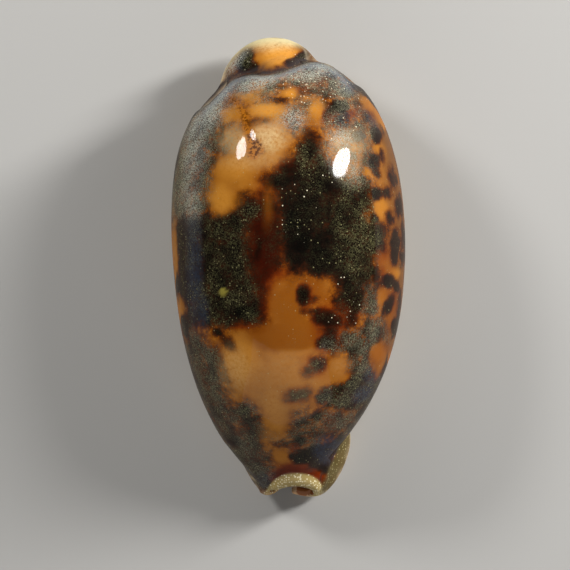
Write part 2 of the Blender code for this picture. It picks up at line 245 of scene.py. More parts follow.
def row_list():
    """The rows across the shell, from the front canal's rim to the spire's: (y, fan, heading, lean, rim)."""
    rounding = math.degrees(0.5 * CANAL_WALL / CANAL_MOUTH_RADIUS)

    def fan_rows(fan, y, heading, count):
        leans = np.linspace(0.0, fan["rim"] - rounding, count + 1)[1:]
        rows = [(y, fan, heading, lean, 1.0) for lean in leans]
        for angle in RIM_ANGLES:
            back = rounding * (1.0 - math.cos(math.radians(angle)))
            rows.append((y, fan, heading, fan["rim"] - back, math.sin(math.radians(angle))))
        return rows

    body_count = round((LAST_BODY_Y - FIRST_BODY_Y) / TOOTH_PITCH * ROWS_PER_TOOTH) + 1
    body = [(y, SPIRE_FAN, 1, 0.0, 1.0) for y in np.linspace(FIRST_BODY_Y, LAST_BODY_Y, body_count)]
    front = fan_rows(FRONT_FAN, FIRST_BODY_Y, -1, FRONT_FAN_ROWS)
    return front[::-1] + body + fan_rows(SPIRE_FAN, LAST_BODY_Y, 1, SPIRE_FAN_ROWS)


def lay_out_rows():
    """The same rows as arrays, each of (row, 1 or 3)."""
    made = {key: [] for key in ("start", "right", "up", "ahead", "lean", "near", "rim", "turns")}
    for y, fan, heading, lean, rim in row_list():
        share = lean / fan["rim"]
        yaw = math.radians(fan["yaw"] * share)
        dip = math.radians(fan["dip"] * share)
        level = np.array([heading * math.sin(yaw), math.cos(yaw), 0.0]) * heading
        near = float(ramp(lean, 0.0, fan["rim"]))
        made["start"].append(spine(y))
        made["right"].append([math.cos(yaw), -heading * math.sin(yaw), 0.0])
        made["up"].append(np.array([0.0, 0.0, math.cos(dip)]) + level * math.sin(dip))
        made["ahead"].append(level * math.cos(dip) - np.array([0.0, 0.0, math.sin(dip)]))
        made["lean"].append([math.radians(lean)])
        made["near"].append([near])
        made["rim"].append([rim])
        made["turns"].append([math.radians(fan[key]) * near for key in ("outer_turn", "inner_turn")])
    return {key: np.array(rows, float) for key, rows in made.items()}


def cast(rows, angles):
    """Where rays at these angles leave the shell, counted from straight down towards the outer lip."""
    angles = angles[..., None]
    start, right, up, ahead, lean = (rows[k][:, None, :] for k in ("start", "right", "up", "ahead", "lean"))
    across = -np.sin(angles) * right - np.cos(angles) * up
    rays = np.cos(lean) * across + np.sin(lean) * ahead
    near = np.zeros(angles.shape)
    far = np.full(angles.shape, RAY_LENGTH)
    for _ in range(HALVINGS):
        middle = 0.5 * (near + far)
        inside = shell_field(start + middle * rays)[..., None] < 0.0
        near = np.where(inside, middle, near)
        far = np.where(inside, far, middle)
    return start + near * rays


def outward(points):
    """The unit normals of the outer surface."""
    steps = NORMAL_STEP * np.eye(3)
    slopes = [shell_field(points + step) - shell_field(points - step) for step in steps]
    normals = np.stack(slopes, axis=-1)
    return normals / np.linalg.norm(normals, axis=-1, keepdims=True)


def wall_at(rows, y, from_lip, columellar):
    """The wall's thickness. from_lip is the distance to the nearer lip, columellar where it is the inner."""
    plain = BACK_WALL + (LIP_WALL - BACK_WALL) * (1.0 - ramp(from_lip, 0.0, LIP_THICKNESS_REACH))
    fold = np.exp(-(((from_lip - COLUMELLA_FROM_LIP) / COLUMELLA_HALF_WIDTH) ** 2))
    fold = fold * ramp(from_lip, *COLUMELLA_RISES) * ramp(y, *COLUMELLA_FRONT) * ramp(y, *COLUMELLA_SPIRE)
    wall = plain + np.where(columellar, COLUMELLA_RISE * fold, 0.0)
    start_y = rows["start"][:, 1:2]
    at_spire = THINNED_AT_SPIRE * ramp(start_y, *THINS_AT_SPIRE)
    towards_canal = np.maximum(ramp(start_y, *THINS_IN_FRONT), at_spire)
    thinned = towards_canal + (1.0 - towards_canal) * rows["near"]
    return wall + (CANAL_WALL - wall) * thinned


def lip_angles(rows):
    """The rays' angles at which the outer and the columellar lip stop being round."""
    upright = dict(rows)
    upright["right"] = np.broadcast_to([1.0, 0.0, 0.0], rows["right"].shape)
    upright["up"] = np.broadcast_to([0.0, 0.0, 1.0], rows["up"].shape)
    upright["lean"] = np.zeros_like(rows["lean"])
    under = cast(upright, np.zeros((len(rows["rim"]), 1)))[:, 0]
    none = np.zeros((len(under), 1))
    wall = wall_at(rows, under[:, 1:2], none, none > 0.0)[:, 0]
    x, y, z = rows["start"].T
    angles = []
    for column, side in enumerate((1.0, -1.0)):
        aside = side * (x - aperture_x(y)) + half_gap(y) + 0.5 * wall
        angles.append(np.arctan2(aside, z - under[:, 2]) + rows["turns"][:, column])
    return angles


def half_round(rows, outer, normal, wall, tangent, angles):
    """A lip's rounded edge, around the middle of the wall."""
    turns = np.radians(np.array(angles, float))[None, :, None]
    centre = (outer - 0.5 * wall[:, None] * normal)[:, None]
    reach = 0.5 * wall[:, None, None] * np.cos(turns) * tangent[:, None]
    rise = 0.5 * (wall * rows["rim"][:, 0])[:, None, None] * np.sin(turns) * normal[:, None]
    return centre - reach + rise


def wall_loops():
    """One closed loop per row: outer lip, outside, columellar lip, inside.

    Also how far each point is from its lip's edge, and whether it is on the lining.
    """
    rows = lay_out_rows()
    outer_start, inner_start = lip_angles(rows)
    even = np.linspace(-1.0, 1.0, SKIN_SAMPLES)
    share = 0.5 + 0.5 * (EVEN_SHARE * even + (1.0 - EVEN_SHARE) * even**3)
    span = 2.0 * math.pi - inner_start - outer_start
    outside = cast(rows, outer_start[:, None] + span[:, None] * share)
    normals = outward(outside)
    steps = np.linalg.norm(np.diff(outside, axis=1), axis=2)
    run = np.concatenate([np.zeros((len(steps), 1)), np.cumsum(steps, axis=1)], axis=1)
    from_outer = run + 0.5 * LIP_WALL
    from_inner = run[:, -1:] - run + 0.5 * LIP_WALL
    from_lip = np.minimum(from_outer, from_inner)
    wall = wall_at(rows, outside[..., 1], from_lip, from_inner < from_outer)
    middle = outside - 0.5 * wall[..., None] * normals
    thin = 0.5 * wall[..., None] * rows["rim"][:, None]
    skin = middle + normals * thin
    lining = (middle - normals * thin)[:, ::-1]
    first = outside[:, 1] - outside[:, 0]
    last = outside[:, -2] - outside[:, -1]
    first /= np.linalg.norm(first, axis=1, keepdims=True)
    last /= np.linalg.norm(last, axis=1, keepdims=True)
    outer_lip = half_round(rows, outside[:, 0], normals[:, 0], wall[:, 0], first, LIP_ANGLES[::-1])
    inner_lip = half_round(rows, outside[:, -1], normals[:, -1], wall[:, -1], last, LIP_ANGLES)
    loops = np.concatenate([outer_lip, skin, inner_lip, lining], axis=1)
    edge = np.zeros((len(loops), len(LIP_ANGLES)))
    lip_run = np.concatenate([edge, from_lip, edge, from_lip[:, ::-1]], axis=1)
    within = np.concatenate([edge, 0.0 * from_lip, edge, 0.0 * from_lip + 1.0], axis=1)
    return loops, lip_run, within


def rest_on_floor(z):
    """Presses what lies below the floor flat, with a soft edge."""
    softness = 0.25
    return 0.5 * (z + np.sqrt(z * z + softness * softness))


def deselect_all():
    if bpy.context.object and bpy.context.object.mode != "OBJECT":
        bpy.ops.object.mode_set(mode="OBJECT")
    bpy.ops.object.select_all(action="DESELECT")


def add_attribute(piece, name, values):
    made = piece.data.attributes.new(name, "FLOAT", "POINT")
    made.data.foreach_set("value", np.ascontiguousarray(values, np.float32).ravel())


def read_attribute(piece, name):
    values = np.zeros(len(piece.data.vertices), np.float32)
    piece.data.attributes[name].data.foreach_get("value", values)
    return values.astype(float)


def read_points(piece, key="co"):
    values = np.zeros(len(piece.data.vertices) * 3, np.float32)
    piece.data.vertices.foreach_get(key, values)
    return values.reshape(-1, 3).astype(float)


def wind_shell():
    """A grid wound round the hollow, welded along its seam and round both canals, and subdivided."""
    loops, lip_run, within = wall_loops()
    rows, girth = loops.shape[:2]
    deselect_all()
    bpy.ops.mesh.primitive_grid_add(x_subdivisions=girth, y_subdivisions=rows - 1, size=0.1)
    shell = bpy.context.object
    shell.name = shell.data.name = "cowrie_shell_dressed"
    around = np.append(np.arange(girth), 0)
    shell.data.vertices.foreach_set("co", ((loops[:, around] + CENTRE_SHIFT) * MM).ravel())
    add_attribute(shell, "lip_run", lip_run[:, around])
    add_attribute(shell, "within", within[:, around])
    bpy.ops.object.mode_set(mode="EDIT")
    bpy.ops.mesh.select_all(action="SELECT")
    bpy.ops.mesh.remove_doubles(threshold=1e-7)
    bpy.ops.mesh.normals_make_consistent(inside=False)
    bpy.ops.object.mode_set(mode="OBJECT")
    smooth = shell.modifiers.new("smooth", "SUBSURF")
    smooth.levels = smooth.render_levels = 1
    bpy.ops.object.modifier_apply(modifier=smooth.name)
    bpy.ops.object.shade_smooth()
    return shell


# The camera looks straight down, and the marks are placed as it sees them. The last is what it frames.
CAMERA_HEIGHT = 1000.0
CAMERA_PLAN = np.array((-1.0, -4.5))
PICTURE_WIDTH = 142.5


def seen_from_above(points):
    """Where the camera above sees each point, as a place at the margin's height. Marks are placed so."""
    nearer = (CAMERA_HEIGHT - MARGIN_Z) / (CAMERA_HEIGHT - points[:, 2:3])
    return CAMERA_PLAN + (points[:, :2] - CAMERA_PLAN) * nearer


def smooth_path(corners, per_span=10):
    """A smooth line through these corners."""
    corners = np.array(corners, float)
    held = np.concatenate([2.0 * corners[:1] - corners[1:2], corners, 2.0 * corners[-1:] - corners[-2:-1]])
    made = []
    for a, b, c, d in zip(held, held[1:], held[2:], held[3:]):
        for t in np.linspace(0.0, 1.0, per_span, endpoint=False):
            bend = (2.0 * a - 5.0 * b + 4.0 * c - d) * t**2 + (3.0 * b - a - 3.0 * c + d) * t**3
            made.append(0.5 * (2.0 * b + (c - a) * t + bend))
    return np.array(made + [corners[-1]])


def beside(places, path):
    """The distance from a path, above 0 on its right as it runs, and the nearest point's share of its run."""
    starts, steps = path[:-1], np.diff(path, axis=0)
    lengths = np.linalg.norm(steps, axis=1)
    along = np.concatenate([[0.0], np.cumsum(lengths)])
    distance = np.full(len(places), FAR)
    side = np.ones(len(places))
    run = np.zeros(len(places))
    for i, (start, step) in enumerate(zip(starts, steps)):
        offset = places - start
        share = np.clip(offset @ step / lengths[i] ** 2, 0.0, 1.0)
        gap = np.linalg.norm(offset - share[:, None] * step, axis=1)
        nearer = gap < distance
        distance = np.where(nearer, gap, distance)
        side = np.where(nearer, np.sign(step[1] * offset[:, 0] - step[0] * offset[:, 1]), side)
        run = np.where(nearer, along[i] + share * lengths[i], run)
    return distance * side, run / along[-1]


# The crest: the edge of the back's enamel, from the left shoulder round behind the spire to the right one.
CREST = smooth_path(
    (
        (-24.0, 36.6), (-20.0, 40.6), (-16.6, 44.2), (-13.6, 47.0), (-10.0, 47.9), (-6.0, 47.8),
        (-2.0, 48.5), (2.0, 50.2), (6.0, 51.1), (9.5, 50.7), (12.5, 48.8), (15.2, 46.0), (17.2, 42.6),
    )
)
CREST_Y = 30.0
CREST_Z = (12.0, 15.0)
CREST_FADES = 0.14

# The thick cream rim over the front canal, the ledge at its right with its groove, and the beak's rim.
COLLAR = smooth_path(
    (
        (-4.6, -57.4), (-4.0, -56.2), (-2.6, -54.5), (-0.4, -53.4), (2.6, -53.2), (5.2, -53.8), (6.7, -55.2),
        (6.8, -57.4),
    )
)
LEDGE = smooth_path(((17.2, -39.6), (16.0, -42.8), (14.8, -46.0), (13.4, -49.6), (11.5, -53.0), (9.3, -56.8)))
LEDGE_GROOVE = smooth_path(((8.6, -52.2), (8.3, -54.0), (8.0, -56.0), (7.6, -58.0)))
BEAK_RIM = smooth_path(
    ((-18.7, 47.4), (-16.8, 51.4), (-11.9, 56.0), (-5.2, 57.7), (0.0, 57.4), (4.8, 56.5), (11.0, 52.2))
)
COLLAR_GROWS = (-58.0, -55.5)
FRONT_LINES_Z = 4.0
BEAK_RIM_Z = 8.0

# A healed scar down the upper back, with a fork. It widens, as distances from it are scaled from top to foot.
SCAR = smooth_path(((-14.2, 42.0), (-12.6, 40.4), (-11.0, 38.0), (-10.6, 35.0), (-9.6, 32.5), (-8.6, 28.5)))
SCAR_FORK = smooth_path(((-9.9, 33.4), (-8.4, 31.4), (-7.4, 30.2), (-6.6, 29.0)))
SCAR_WIDENS = (1.25, 0.65)
FORK_THINNER = 0.35
SCAR_ROUGHNESS = 0.8
SCAR_GRAIN = 1.1

# A small wart on the left block. Its slope and its colour run between these shares of its radius.
WART = np.array((-16.5, -6.3))
WART_RADIUS = 1.15
WART_HEIGHT = 0.35
WART_SLOPE = (1.15, 0.5)
WART_EDGE = (1.0, 0.75)

# Low relief in millimetres, each as (height, distance from its line, half width). Below 0 it is sunk.
CREST_LIP = (0.35, 0.8, 0.9)
CREST_GROOVE = (-1.5, -1.7, 1.1)
SCAR_EDGE = (0.03, 1.1, 0.4)
SCAR_BED = (-0.1, 0.0, 0.7)
COLLAR_RIM = (0.5, 0.0, 1.2)
GROOVE_BED = (-0.5, 0.0, 0.55)

# Slight waves of the outside, each as (height, size).
WAVES = ((0.08, 12.0), (0.012, 3.0))

# The outer lip's corner at the front, which is smoothed.
CORNER_X = -3.6
CORNER_Y = (-57.0, -44.0)
CORNER_Z = 1.5
CORNER_PASSES = 60

# The outlines of the blotches and of the hazes between them, as seen from above.
LEFT_BLOCK = (
    (-27.8, 12.6), (-24.4, 13.4), (-20.8, 13.0), (-16.4, 13.0), (-13.6, 14.8), (-11.8, 17.2), (-9.6, 18.2),
    (-7.8, 16.6), (-7.6, 13.0), (-9.4, 10.0), (-10.2, 5.5), (-10.0, 0.5), (-8.7, -3.2), (-7.7, -7.8),
    (-6.9, -10.4), (-7.7, -13.2), (-10.2, -14.2), (-13.6, -14.4), (-16.2, -15.8), (-19.4, -14.7),
    (-20.6, -15.6), (-24.3, -14.8), (-24.8, -18.6), (-26.2, -17.0), (-26.5, -13.2), (-25.5, -10.4),
    (-27.0, -7.4), (-28.2, -4.4), (-28.1, 4.8), (-28.4, 8.8),
)
STREAK = (
    (-12.6, 17.4), (-9.6, 18.9), (-5.4, 19.2), (0.0, 19.0), (1.4, 12.0), (1.6, 4.0), (0.6, -0.4),
    (-3.4, -2.0), (-5.0, -5.2), (-5.5, -9.2), (-5.0, -12.2), (-6.4, -14.1), (-10.2, -14.0), (-12.0, -8.0),
    (-12.6, 0.0), (-12.8, 10.0),
)
CENTRE_BLOCK = (
    (3.6, 33.6), (6.4, 32.8), (8.4, 29.6), (11.0, 26.6), (13.5, 23.0), (16.2, 22.2), (19.2, 21.4),
    (20.4, 18.8), (20.0, 15.8), (19.3, 13.4), (20.6, 11.2), (22.4, 10.4), (24.6, 9.4), (24.9, 6.0),
    (23.8, 4.4), (22.0, 3.6), (21.4, 0.8), (22.8, -1.2), (23.4, -3.8), (22.0, -5.6), (19.8, -5.0),
    (19.6, -8.2), (18.6, -10.4), (17.0, -12.6), (16.4, -14.9), (14.6, -14.7), (14.1, -11.4), (12.4, -9.4),
    (11.4, -6.0), (10.7, -3.0), (9.8, -2.3), (5.0, -2.1), (3.0, -1.0), (0.2, -0.4), (-1.4, 2.0), (-2.4, 8.0),
    (-2.6, 14.0), (-3.6, 17.4), (-5.8, 20.0), (-5.9, 22.6), (-4.8, 24.6), (-2.0, 25.0), (0.4, 26.0),
    (1.8, 28.4), (2.2, 30.8),
)
RIGHT_FRONT_BLOTCH = (
    (7.2, -31.4), (9.2, -29.8), (13.6, -29.2), (15.8, -27.4), (17.8, -25.6), (20.6, -25.4), (21.8, -27.4),
    (21.3, -29.4), (22.6, -30.0), (21.4, -32.8), (18.8, -34.4), (16.4, -35.6), (13.0, -35.0), (9.6, -34.3),
    (7.6, -33.8),
)
FRONT_BLOTCH = (
    (0.6, -47.0), (3.4, -45.4), (7.8, -43.8), (10.6, -43.6), (13.2, -41.6), (14.4, -42.6), (12.6, -45.4),
    (10.8, -47.4), (12.0, -49.2), (10.9, -51.4), (9.4, -52.6), (7.6, -51.4), (5.2, -50.0), (1.8, -49.2),
)
LEFT_FRONT_HAZE = (
    (-26.6, -18.0), (-24.6, -15.6), (-21.6, -16.4), (-19.6, -19.4), (-17.2, -20.6), (-15.6, -26.4),
    (-15.4, -31.4), (-13.0, -33.6), (-9.6, -34.0), (-7.2, -38.0), (-5.6, -43.0), (-4.6, -48.0),
    (-3.4, -51.0), (-4.0, -53.6), (-8.0, -57.0), (-13.0, -51.0), (-17.0, -44.0), (-21.0, -37.0),
    (-24.6, -28.0),
)
LEFT_SPIRE_HAZE = (
    (-30.0, 12.0), (-30.0, 26.0), (-27.0, 34.0), (-23.0, 40.2), (-19.0, 42.6), (-16.8, 41.0), (-17.2, 36.0),
    (-18.2, 31.0), (-18.8, 25.0), (-19.2, 20.0), (-20.4, 15.6), (-22.0, 12.6),
)
RIGHT_FRONT_HAZE = (
    (19.2, -5.0), (22.2, -6.0), (22.0, -12.0), (24.2, -16.0), (22.6, -20.6), (20.4, -22.6), (20.0, -25.6),
    (15.4, -26.6), (14.4, -22.4), (10.4, -21.2), (9.4, -19.0), (12.0, -17.8), (15.4, -16.4), (18.8, -12.6),
)
CREST_HAZE = (
    (-22.0, 38.6), (-17.0, 43.6), (-13.6, 47.0), (-10.0, 48.2), (-4.0, 48.4), (2.0, 50.4), (7.0, 51.2),
    (12.0, 49.6), (16.0, 45.4), (17.4, 42.0), (15.0, 42.4), (10.0, 41.0), (5.4, 44.4), (0.0, 44.8),
    (-5.0, 43.4), (-10.0, 44.4), (-14.4, 42.6), (-18.0, 38.4),
)
FRONT_HAZE = (
    (-5.6, -42.0), (-1.0, -42.4), (1.4, -36.4), (5.0, -35.2), (9.0, -35.4), (14.0, -36.0), (17.4, -35.6),
    (18.4, -38.6), (14.4, -41.0), (11.0, -43.8), (6.0, -44.6), (2.0, -45.4), (-3.0, -45.0),
)
RIGHT_SPIRE_HAZE = (
    (2.0, 44.6), (8.0, 44.0), (14.0, 46.5), (18.4, 43.0), (21.6, 37.0), (21.0, 30.0), (21.4, 24.0),
    (18.0, 19.6), (12.0, 21.6), (8.4, 27.6), (8.0, 33.0), (5.0, 36.4), (0.8, 32.6), (-2.2, 35.0),
    (-2.6, 39.4), (0.0, 42.0),
)
MIDDLE_SPIRE_HAZE = (
    (-17.0, 35.0), (-15.6, 41.6), (-10.0, 44.8), (-3.0, 44.0), (1.0, 42.4), (0.4, 37.0), (-3.0, 35.4),
    (-8.0, 37.4), (-12.4, 34.4), (-15.0, 28.0), (-18.4, 27.0),
)

# Each blotch with the (strength, softness of edge) of its pigment, of its grey veil and of its olive specks.
NONE = (0.0, 1.0)
BLOTCHES = (
    (LEFT_BLOCK, (0.78, 4.0), NONE, (0.7, 2.4)),
    (STREAK, (0.52, 3.0), NONE, NONE),
    (CENTRE_BLOCK, (0.78, 4.0), NONE, (0.08, 2.0)),
    (RIGHT_FRONT_BLOTCH, (0.74, 2.2), (0.25, 1.8), (0.95, 1.8)),
    (FRONT_BLOTCH, (1.0, 2.0), NONE, (0.25, 1.6)),
    (LEFT_FRONT_HAZE, (0.56, 3.4), (0.4, 2.0), (0.6, 2.4)),
    (LEFT_SPIRE_HAZE, (0.5, 3.0), (0.95, 2.4), (0.95, 2.4)),
    (RIGHT_FRONT_HAZE, (0.64, 3.2), (0.6, 2.4), (0.5, 2.4)),
    (CREST_HAZE, (0.44, 2.6), (1.0, 2.0), (0.6, 2.0)),
    (FRONT_HAZE, (0.42, 3.2), (0.45, 2.2), (0.45, 2.2)),
    (RIGHT_SPIRE_HAZE, (0.3, 3.0), (0.6, 2.8), (0.35, 2.4)),
    (MIDDLE_SPIRE_HAZE, (0.17, 2.6), (0.7, 2.6), NONE),
)

# Small marks as seen from above: x, y, half width, half length, turn in degrees, strength, soft edge.
# First the dark ones: on the middle of the back, in front, behind, on the beak and along both margins.
ISLANDS = (
    (3.6, -6.9, 1.7, 2.4, 0, 0.9, 2.0), (3.4, -4.4, 0.9, 1.6, 0, 0.3, 1.2),
    (6.4, -8.2, 1.9, 1.3, -25, 0.42, 1.5), (5.4, -10.2, 3.0, 1.6, -10, 0.26, 1.6),
    (3.9, -11.0, 1.5, 1.1, 0, 0.46, 1.3), (9.4, -12.9, 4.4, 2.4, -16, 0.72, 2.0),
    (9.9, -15.0, 3.6, 6.6, 8, 0.27, 2.4), (6.6, -10.9, 2.2, 0.8, 5, 0.65, 1.01),
    (11.8, -13.2, 1.6, 1.2, -20, 0.65, 1.01), (13.0, -9.0, 2.6, 3.6, 20, 0.54, 1.74),
    (10.4, -17.2, 2.0, 3.2, 10, 0.6, 1.9), (9.8, -18.7, 2.6, 1.7, 10, 0.8, 1.6),
    (11.0, -15.5, 2.0, 1.8, 0, 0.5, 1.8), (7.1, -24.2, 2.0, 2.4, -38, 0.62, 1.9),
    (5.0, -26.2, 1.9, 1.4, 30, 0.46, 1.6), (8.4, -22.4, 2.4, 2.0, 0, 0.2, 1.8),
    (2.2, -32.0, 3.1, 1.8, 16, 0.6, 1.9), (0.2, -33.2, 1.6, 0.8, 10, 0.54, 1.16),
    (4.0, -38.3, 2.8, 1.5, 0, 0.56, 1.45), (6.8, -37.4, 1.6, 2.0, -20, 0.76, 1.3),
    (2.5, -43.0, 2.0, 1.1, -20, 0.65, 1.16), (6.5, -41.6, 1.1, 1.2, 0, 0.43, 1.3),
    (10.0, -38.2, 2.4, 2.4, 0, 0.37, 2.03), (-12.0, -36.1, 2.9, 1.7, -12, 0.78, 1.6),
    (-8.6, -38.0, 1.8, 1.5, -30, 0.54, 1.45), (-15.7, -18.4, 2.7, 1.3, -45, 0.58, 1.4),
    (-17.6, -16.4, 1.6, 1.2, 0, 0.71, 1.01), (-17.4, -22.6, 1.1, 2.4, 14, 0.45, 1.3),
    (-16.0, -26.4, 0.9, 1.6, 18, 0.43, 1.16), (-19.4, -27.4, 1.7, 2.4, 38, 0.86, 1.5),
    (-21.0, -24.0, 1.4, 3.6, 12, 0.32, 2.03),
)
FRONT_MARKS = (
    (-1.2, -44.2, 3.2, 1.0, 4, 0.5, 1.0), (1.4, -47.4, 1.5, 1.2, 0, 0.66, 0.8),
    (-7.6, -52.4, 2.6, 2.2, -30, 0.66, 1.0), (-5.8, -54.2, 2.2, 1.2, -20, 0.62, 0.8),
    (-9.4, -49.8, 1.6, 1.2, -30, 0.66, 0.9),
)
SPIRE_MARKS = (
    (3.4, 46.6, 4.6, 1.3, 4, 0.52, 1.0), (10.0, 47.4, 3.0, 1.8, -30, 0.5, 1.2),
    (9.8, 43.0, 1.8, 1.4, 0, 0.6, 1.0), (12.9, 40.3, 2.2, 1.5, -12, 0.98, 0.8),
    (10.6, 39.0, 1.6, 1.0, 10, 0.6, 0.8), (16.4, 40.9, 1.9, 0.9, -18, 0.58, 0.9),
    (14.6, 43.6, 2.2, 1.4, -40, 0.74, 1.2), (11.0, 45.6, 2.4, 1.2, -10, 0.6, 1.2),
    (9.6, 37.6, 1.4, 1.6, 20, 0.44, 0.8), (13.4, 36.6, 2.6, 1.8, 0, 0.5, 1.4),
    (17.4, 32.8, 1.7, 1.6, 0, 0.62, 1.0), (16.4, 35.0, 1.2, 1.2, 0, 0.5, 1.0),
    (19.6, 37.2, 0.9, 2.0, 25, 0.48, 0.9), (4.8, 33.4, 1.6, 2.2, 10, 0.4, 1.0),
    (1.6, 34.6, 2.6, 3.2, 0, 0.28, 2.0), (-8.0, 36.4, 3.6, 1.1, 10, 0.34, 1.2),
    (-3.0, 41.8, 4.2, 1.0, 0, 0.36, 1.2), (-12.6, 44.0, 3.0, 1.0, 10, 0.3, 1.0),
    (-17.0, 33.0, 1.2, 3.0, 10, 0.3, 1.2), (13.0, 30.4, 2.4, 1.6, 20, 0.34, 1.2),
    (19.0, 27.6, 1.0, 2.6, 0, 0.4, 1.0), (6.0, 43.6, 3.4, 1.2, 0, 0.44, 1.2),
    (-13.4, 41.4, 1.8, 0.9, -20, 0.36, 0.8), (12.6, 40.2, 2.3, 1.7, 0, 1.0, 1.2),
)
BEAK_MARKS = (
    (-10.9, 51.5, 1.9, 3.1, -22, 0.86, 1.3), (-8.9, 50.0, 1.4, 1.3, 0, 0.6, 0.9),
    (-11.8, 49.4, 1.4, 0.8, 0, 0.66, 0.7), (1.6, 51.4, 2.6, 1.1, 16, 0.8, 0.9),
    (3.6, 52.4, 1.8, 1.5, 0, 0.9, 0.9), (7.0, 52.4, 1.8, 1.1, -40, 0.4, 1.0),
    (16.8, 45.6, 4.2, 1.0, -46, 1.0, 0.9), (12.4, 48.8, 2.6, 0.6, -36, 0.5, 0.8),
    (-17.6, 44.6, 3.4, 0.8, 40, 0.66, 0.6), (-21.4, 41.2, 2.6, 0.8, 40, 0.5, 0.7),
    (-4.6, 48.9, 3.6, 0.35, 3, 0.62, 0.5), (-4.0, 49.9, 2.8, 0.25, 3, 0.5, 0.4),
)
RIGHT_MARKS = (
    (21.7, 33.0, 1.26, 2.1, 20, 1.0, 0.81), (23.3, 27.8, 0.69, 1.8, 10, 0.55, 0.81),
    (21.3, 26.3, 1.49, 1.9, 0, 0.75, 1.22), (21.9, 23.6, 0.92, 1.2, 10, 0.65, 1.08),
    (25.6, 22.4, 0.69, 2.2, 8, 0.78, 0.94), (18.0, 20.9, 2.76, 1.6, 0, 0.62, 1.62),
    (21.8, 18.2, 1.38, 1.6, 20, 0.83, 1.08), (24.3, 18.6, 1.26, 1.5, 10, 0.78, 1.22),
    (27.2, 15.0, 0.69, 2.4, 3, 0.78, 0.81), (25.1, 12.2, 1.03, 1.7, 15, 0.72, 1.08),
    (21.0, 12.0, 1.15, 1.6, 20, 0.7, 1.22), (26.5, 5.0, 0.98, 4.0, -3, 1.0, 0.94),
    (28.4, 2.4, 0.46, 1.6, 0, 0.83, 0.68), (24.9, -3.6, 1.72, 1.7, 0, 0.83, 1.22),
    (27.0, -4.8, 0.8, 1.4, 10, 0.9, 0.81), (24.6, -9.8, 0.92, 3.0, -26, 0.83, 1.08),
    (26.5, -15.0, 0.75, 2.3, -12, 1.0, 0.81), (23.2, -14.0, 0.92, 2.0, -10, 0.45, 1.22),
    (21.6, -30.4, 1.15, 1.6, -30, 1.0, 1.08), (18.4, -37.2, 1.72, 1.9, -40, 1.0, 1.08),
    (15.6, -40.4, 1.38, 1.6, -40, 0.83, 1.08), (21.2, -31.6, 1.1, 5.2, -30, 1.0, 1.0),
)
LEFT_MARKS = (
    (-26.7, 4.0, 0.8, 9.5, 0, 1.0, 0.7), (-27.0, -5.3, 0.9, 2.4, 10, 1.0, 0.7),
    (-25.7, -15.6, 0.7, 2.6, 6, 1.0, 0.7), (-25.2, -22.4, 0.6, 2.4, 12, 0.8, 0.7),
    (-13.6, 5.2, 1.6, 2.6, 0, 1.0, 1.0), (-20.6, -12.2, 1.0, 2.6, 6, 1.0, 0.9),
    (-10.8, -11.2, 2.6, 1.4, -6, 1.0, 0.9), (-7.6, 5.0, 0.9, 7.0, 0, 0.66, 0.9),
    (-22.0, -30.4, 1.1, 2.8, 24, 0.66, 0.9), (-18.0, -36.6, 1.3, 3.0, 30, 0.76, 0.9),
    (-13.4, -43.4, 1.1, 1.7, 40, 0.92, 0.8), (-12.0, -47.0, 1.2, 2.4, 38, 0.76, 0.9),
)
DARK_MARKS = ISLANDS + FRONT_MARKS + SPIRE_MARKS + BEAK_MARKS + RIGHT_MARKS + LEFT_MARKS

# The densest middles of the blotches.
CORES = (
    (2.6, 9.5, 4.6, 11.0, -4, 1.0, 3.4), (8.4, 2.4, 6.6, 4.0, -8, 0.98, 3.0),
    (8.6, 20.6, 3.0, 5.0, 20, 0.86, 2.6), (-13.4, 4.6, 2.0, 4.4, 0, 1.0, 2.0),
    (-11.0, -11.0, 3.4, 2.2, -6, 1.0, 1.8), (16.0, -6.0, 2.4, 4.0, 10, 0.84, 2.0),
    (22.0, 7.4, 2.0, 3.0, 0, 0.82, 1.6),
)

# Clear amber places, which the dark blotches leave open.
CLEAR_MARKS = (
    (-5.3, 15.4, 0.9, 3.4, 0, 0.3, 1.6), (-16.6, 17.0, 3.4, 2.6, 0, 0.75, 2.4),
    (23.0, 14.6, 1.6, 2.6, 0, 1.0, 0.9), (26.6, -1.6, 1.2, 1.4, 0, 0.9, 0.8),
    (23.2, -7.8, 0.9, 2.0, 0, 0.8, 0.8), (-27.4, -10.6, 1.0, 2.6, 8, 1.0, 0.7),
    (-28.8, 2.0, 0.7, 10.0, 0, 0.9, 0.6), (-2.2, -46.8, 1.7, 1.5, 0, 0.6, 1.2),
    (12.2, -24.6, 1.6, 3.0, -20, 0.4, 1.6), (22.6, -21.6, 1.6, 2.4, 20, 0.9, 1.0),
    (24.0, -24.6, 1.2, 3.0, -20, 1.0, 0.8), (19.6, 41.0, 1.4, 2.4, 35, 0.9, 0.8),
    (23.4, 37.0, 1.2, 3.4, 25, 0.9, 0.8), (22.6, 29.6, 1.2, 2.2, 25, 0.8, 0.8),
    (20.0, 23.2, 1.2, 2.0, 20, 0.7, 0.9), (6.6, 38.6, 1.8, 2.4, 0, 0.8, 1.2),
    (-5.8, 39.4, 3.4, 1.4, 0, 0.7, 1.2), (-13.0, 38.4, 2.2, 1.6, 0, 0.7, 1.2),
    (0.6, 43.4, 1.2, 1.2, 0, 0.8, 0.9), (-2.6, 52.0, 4.6, 2.2, 12, 0.9, 1.8),
    (2.0, -10.0, 4.6, 6.0, 0, 0.45, 2.6), (-12.6, 22.6, 3.6, 3.6, 0, 0.45, 2.0),
    (-17.0, 20.0, 2.4, 5.0, 0, 0.6, 2.0),
)

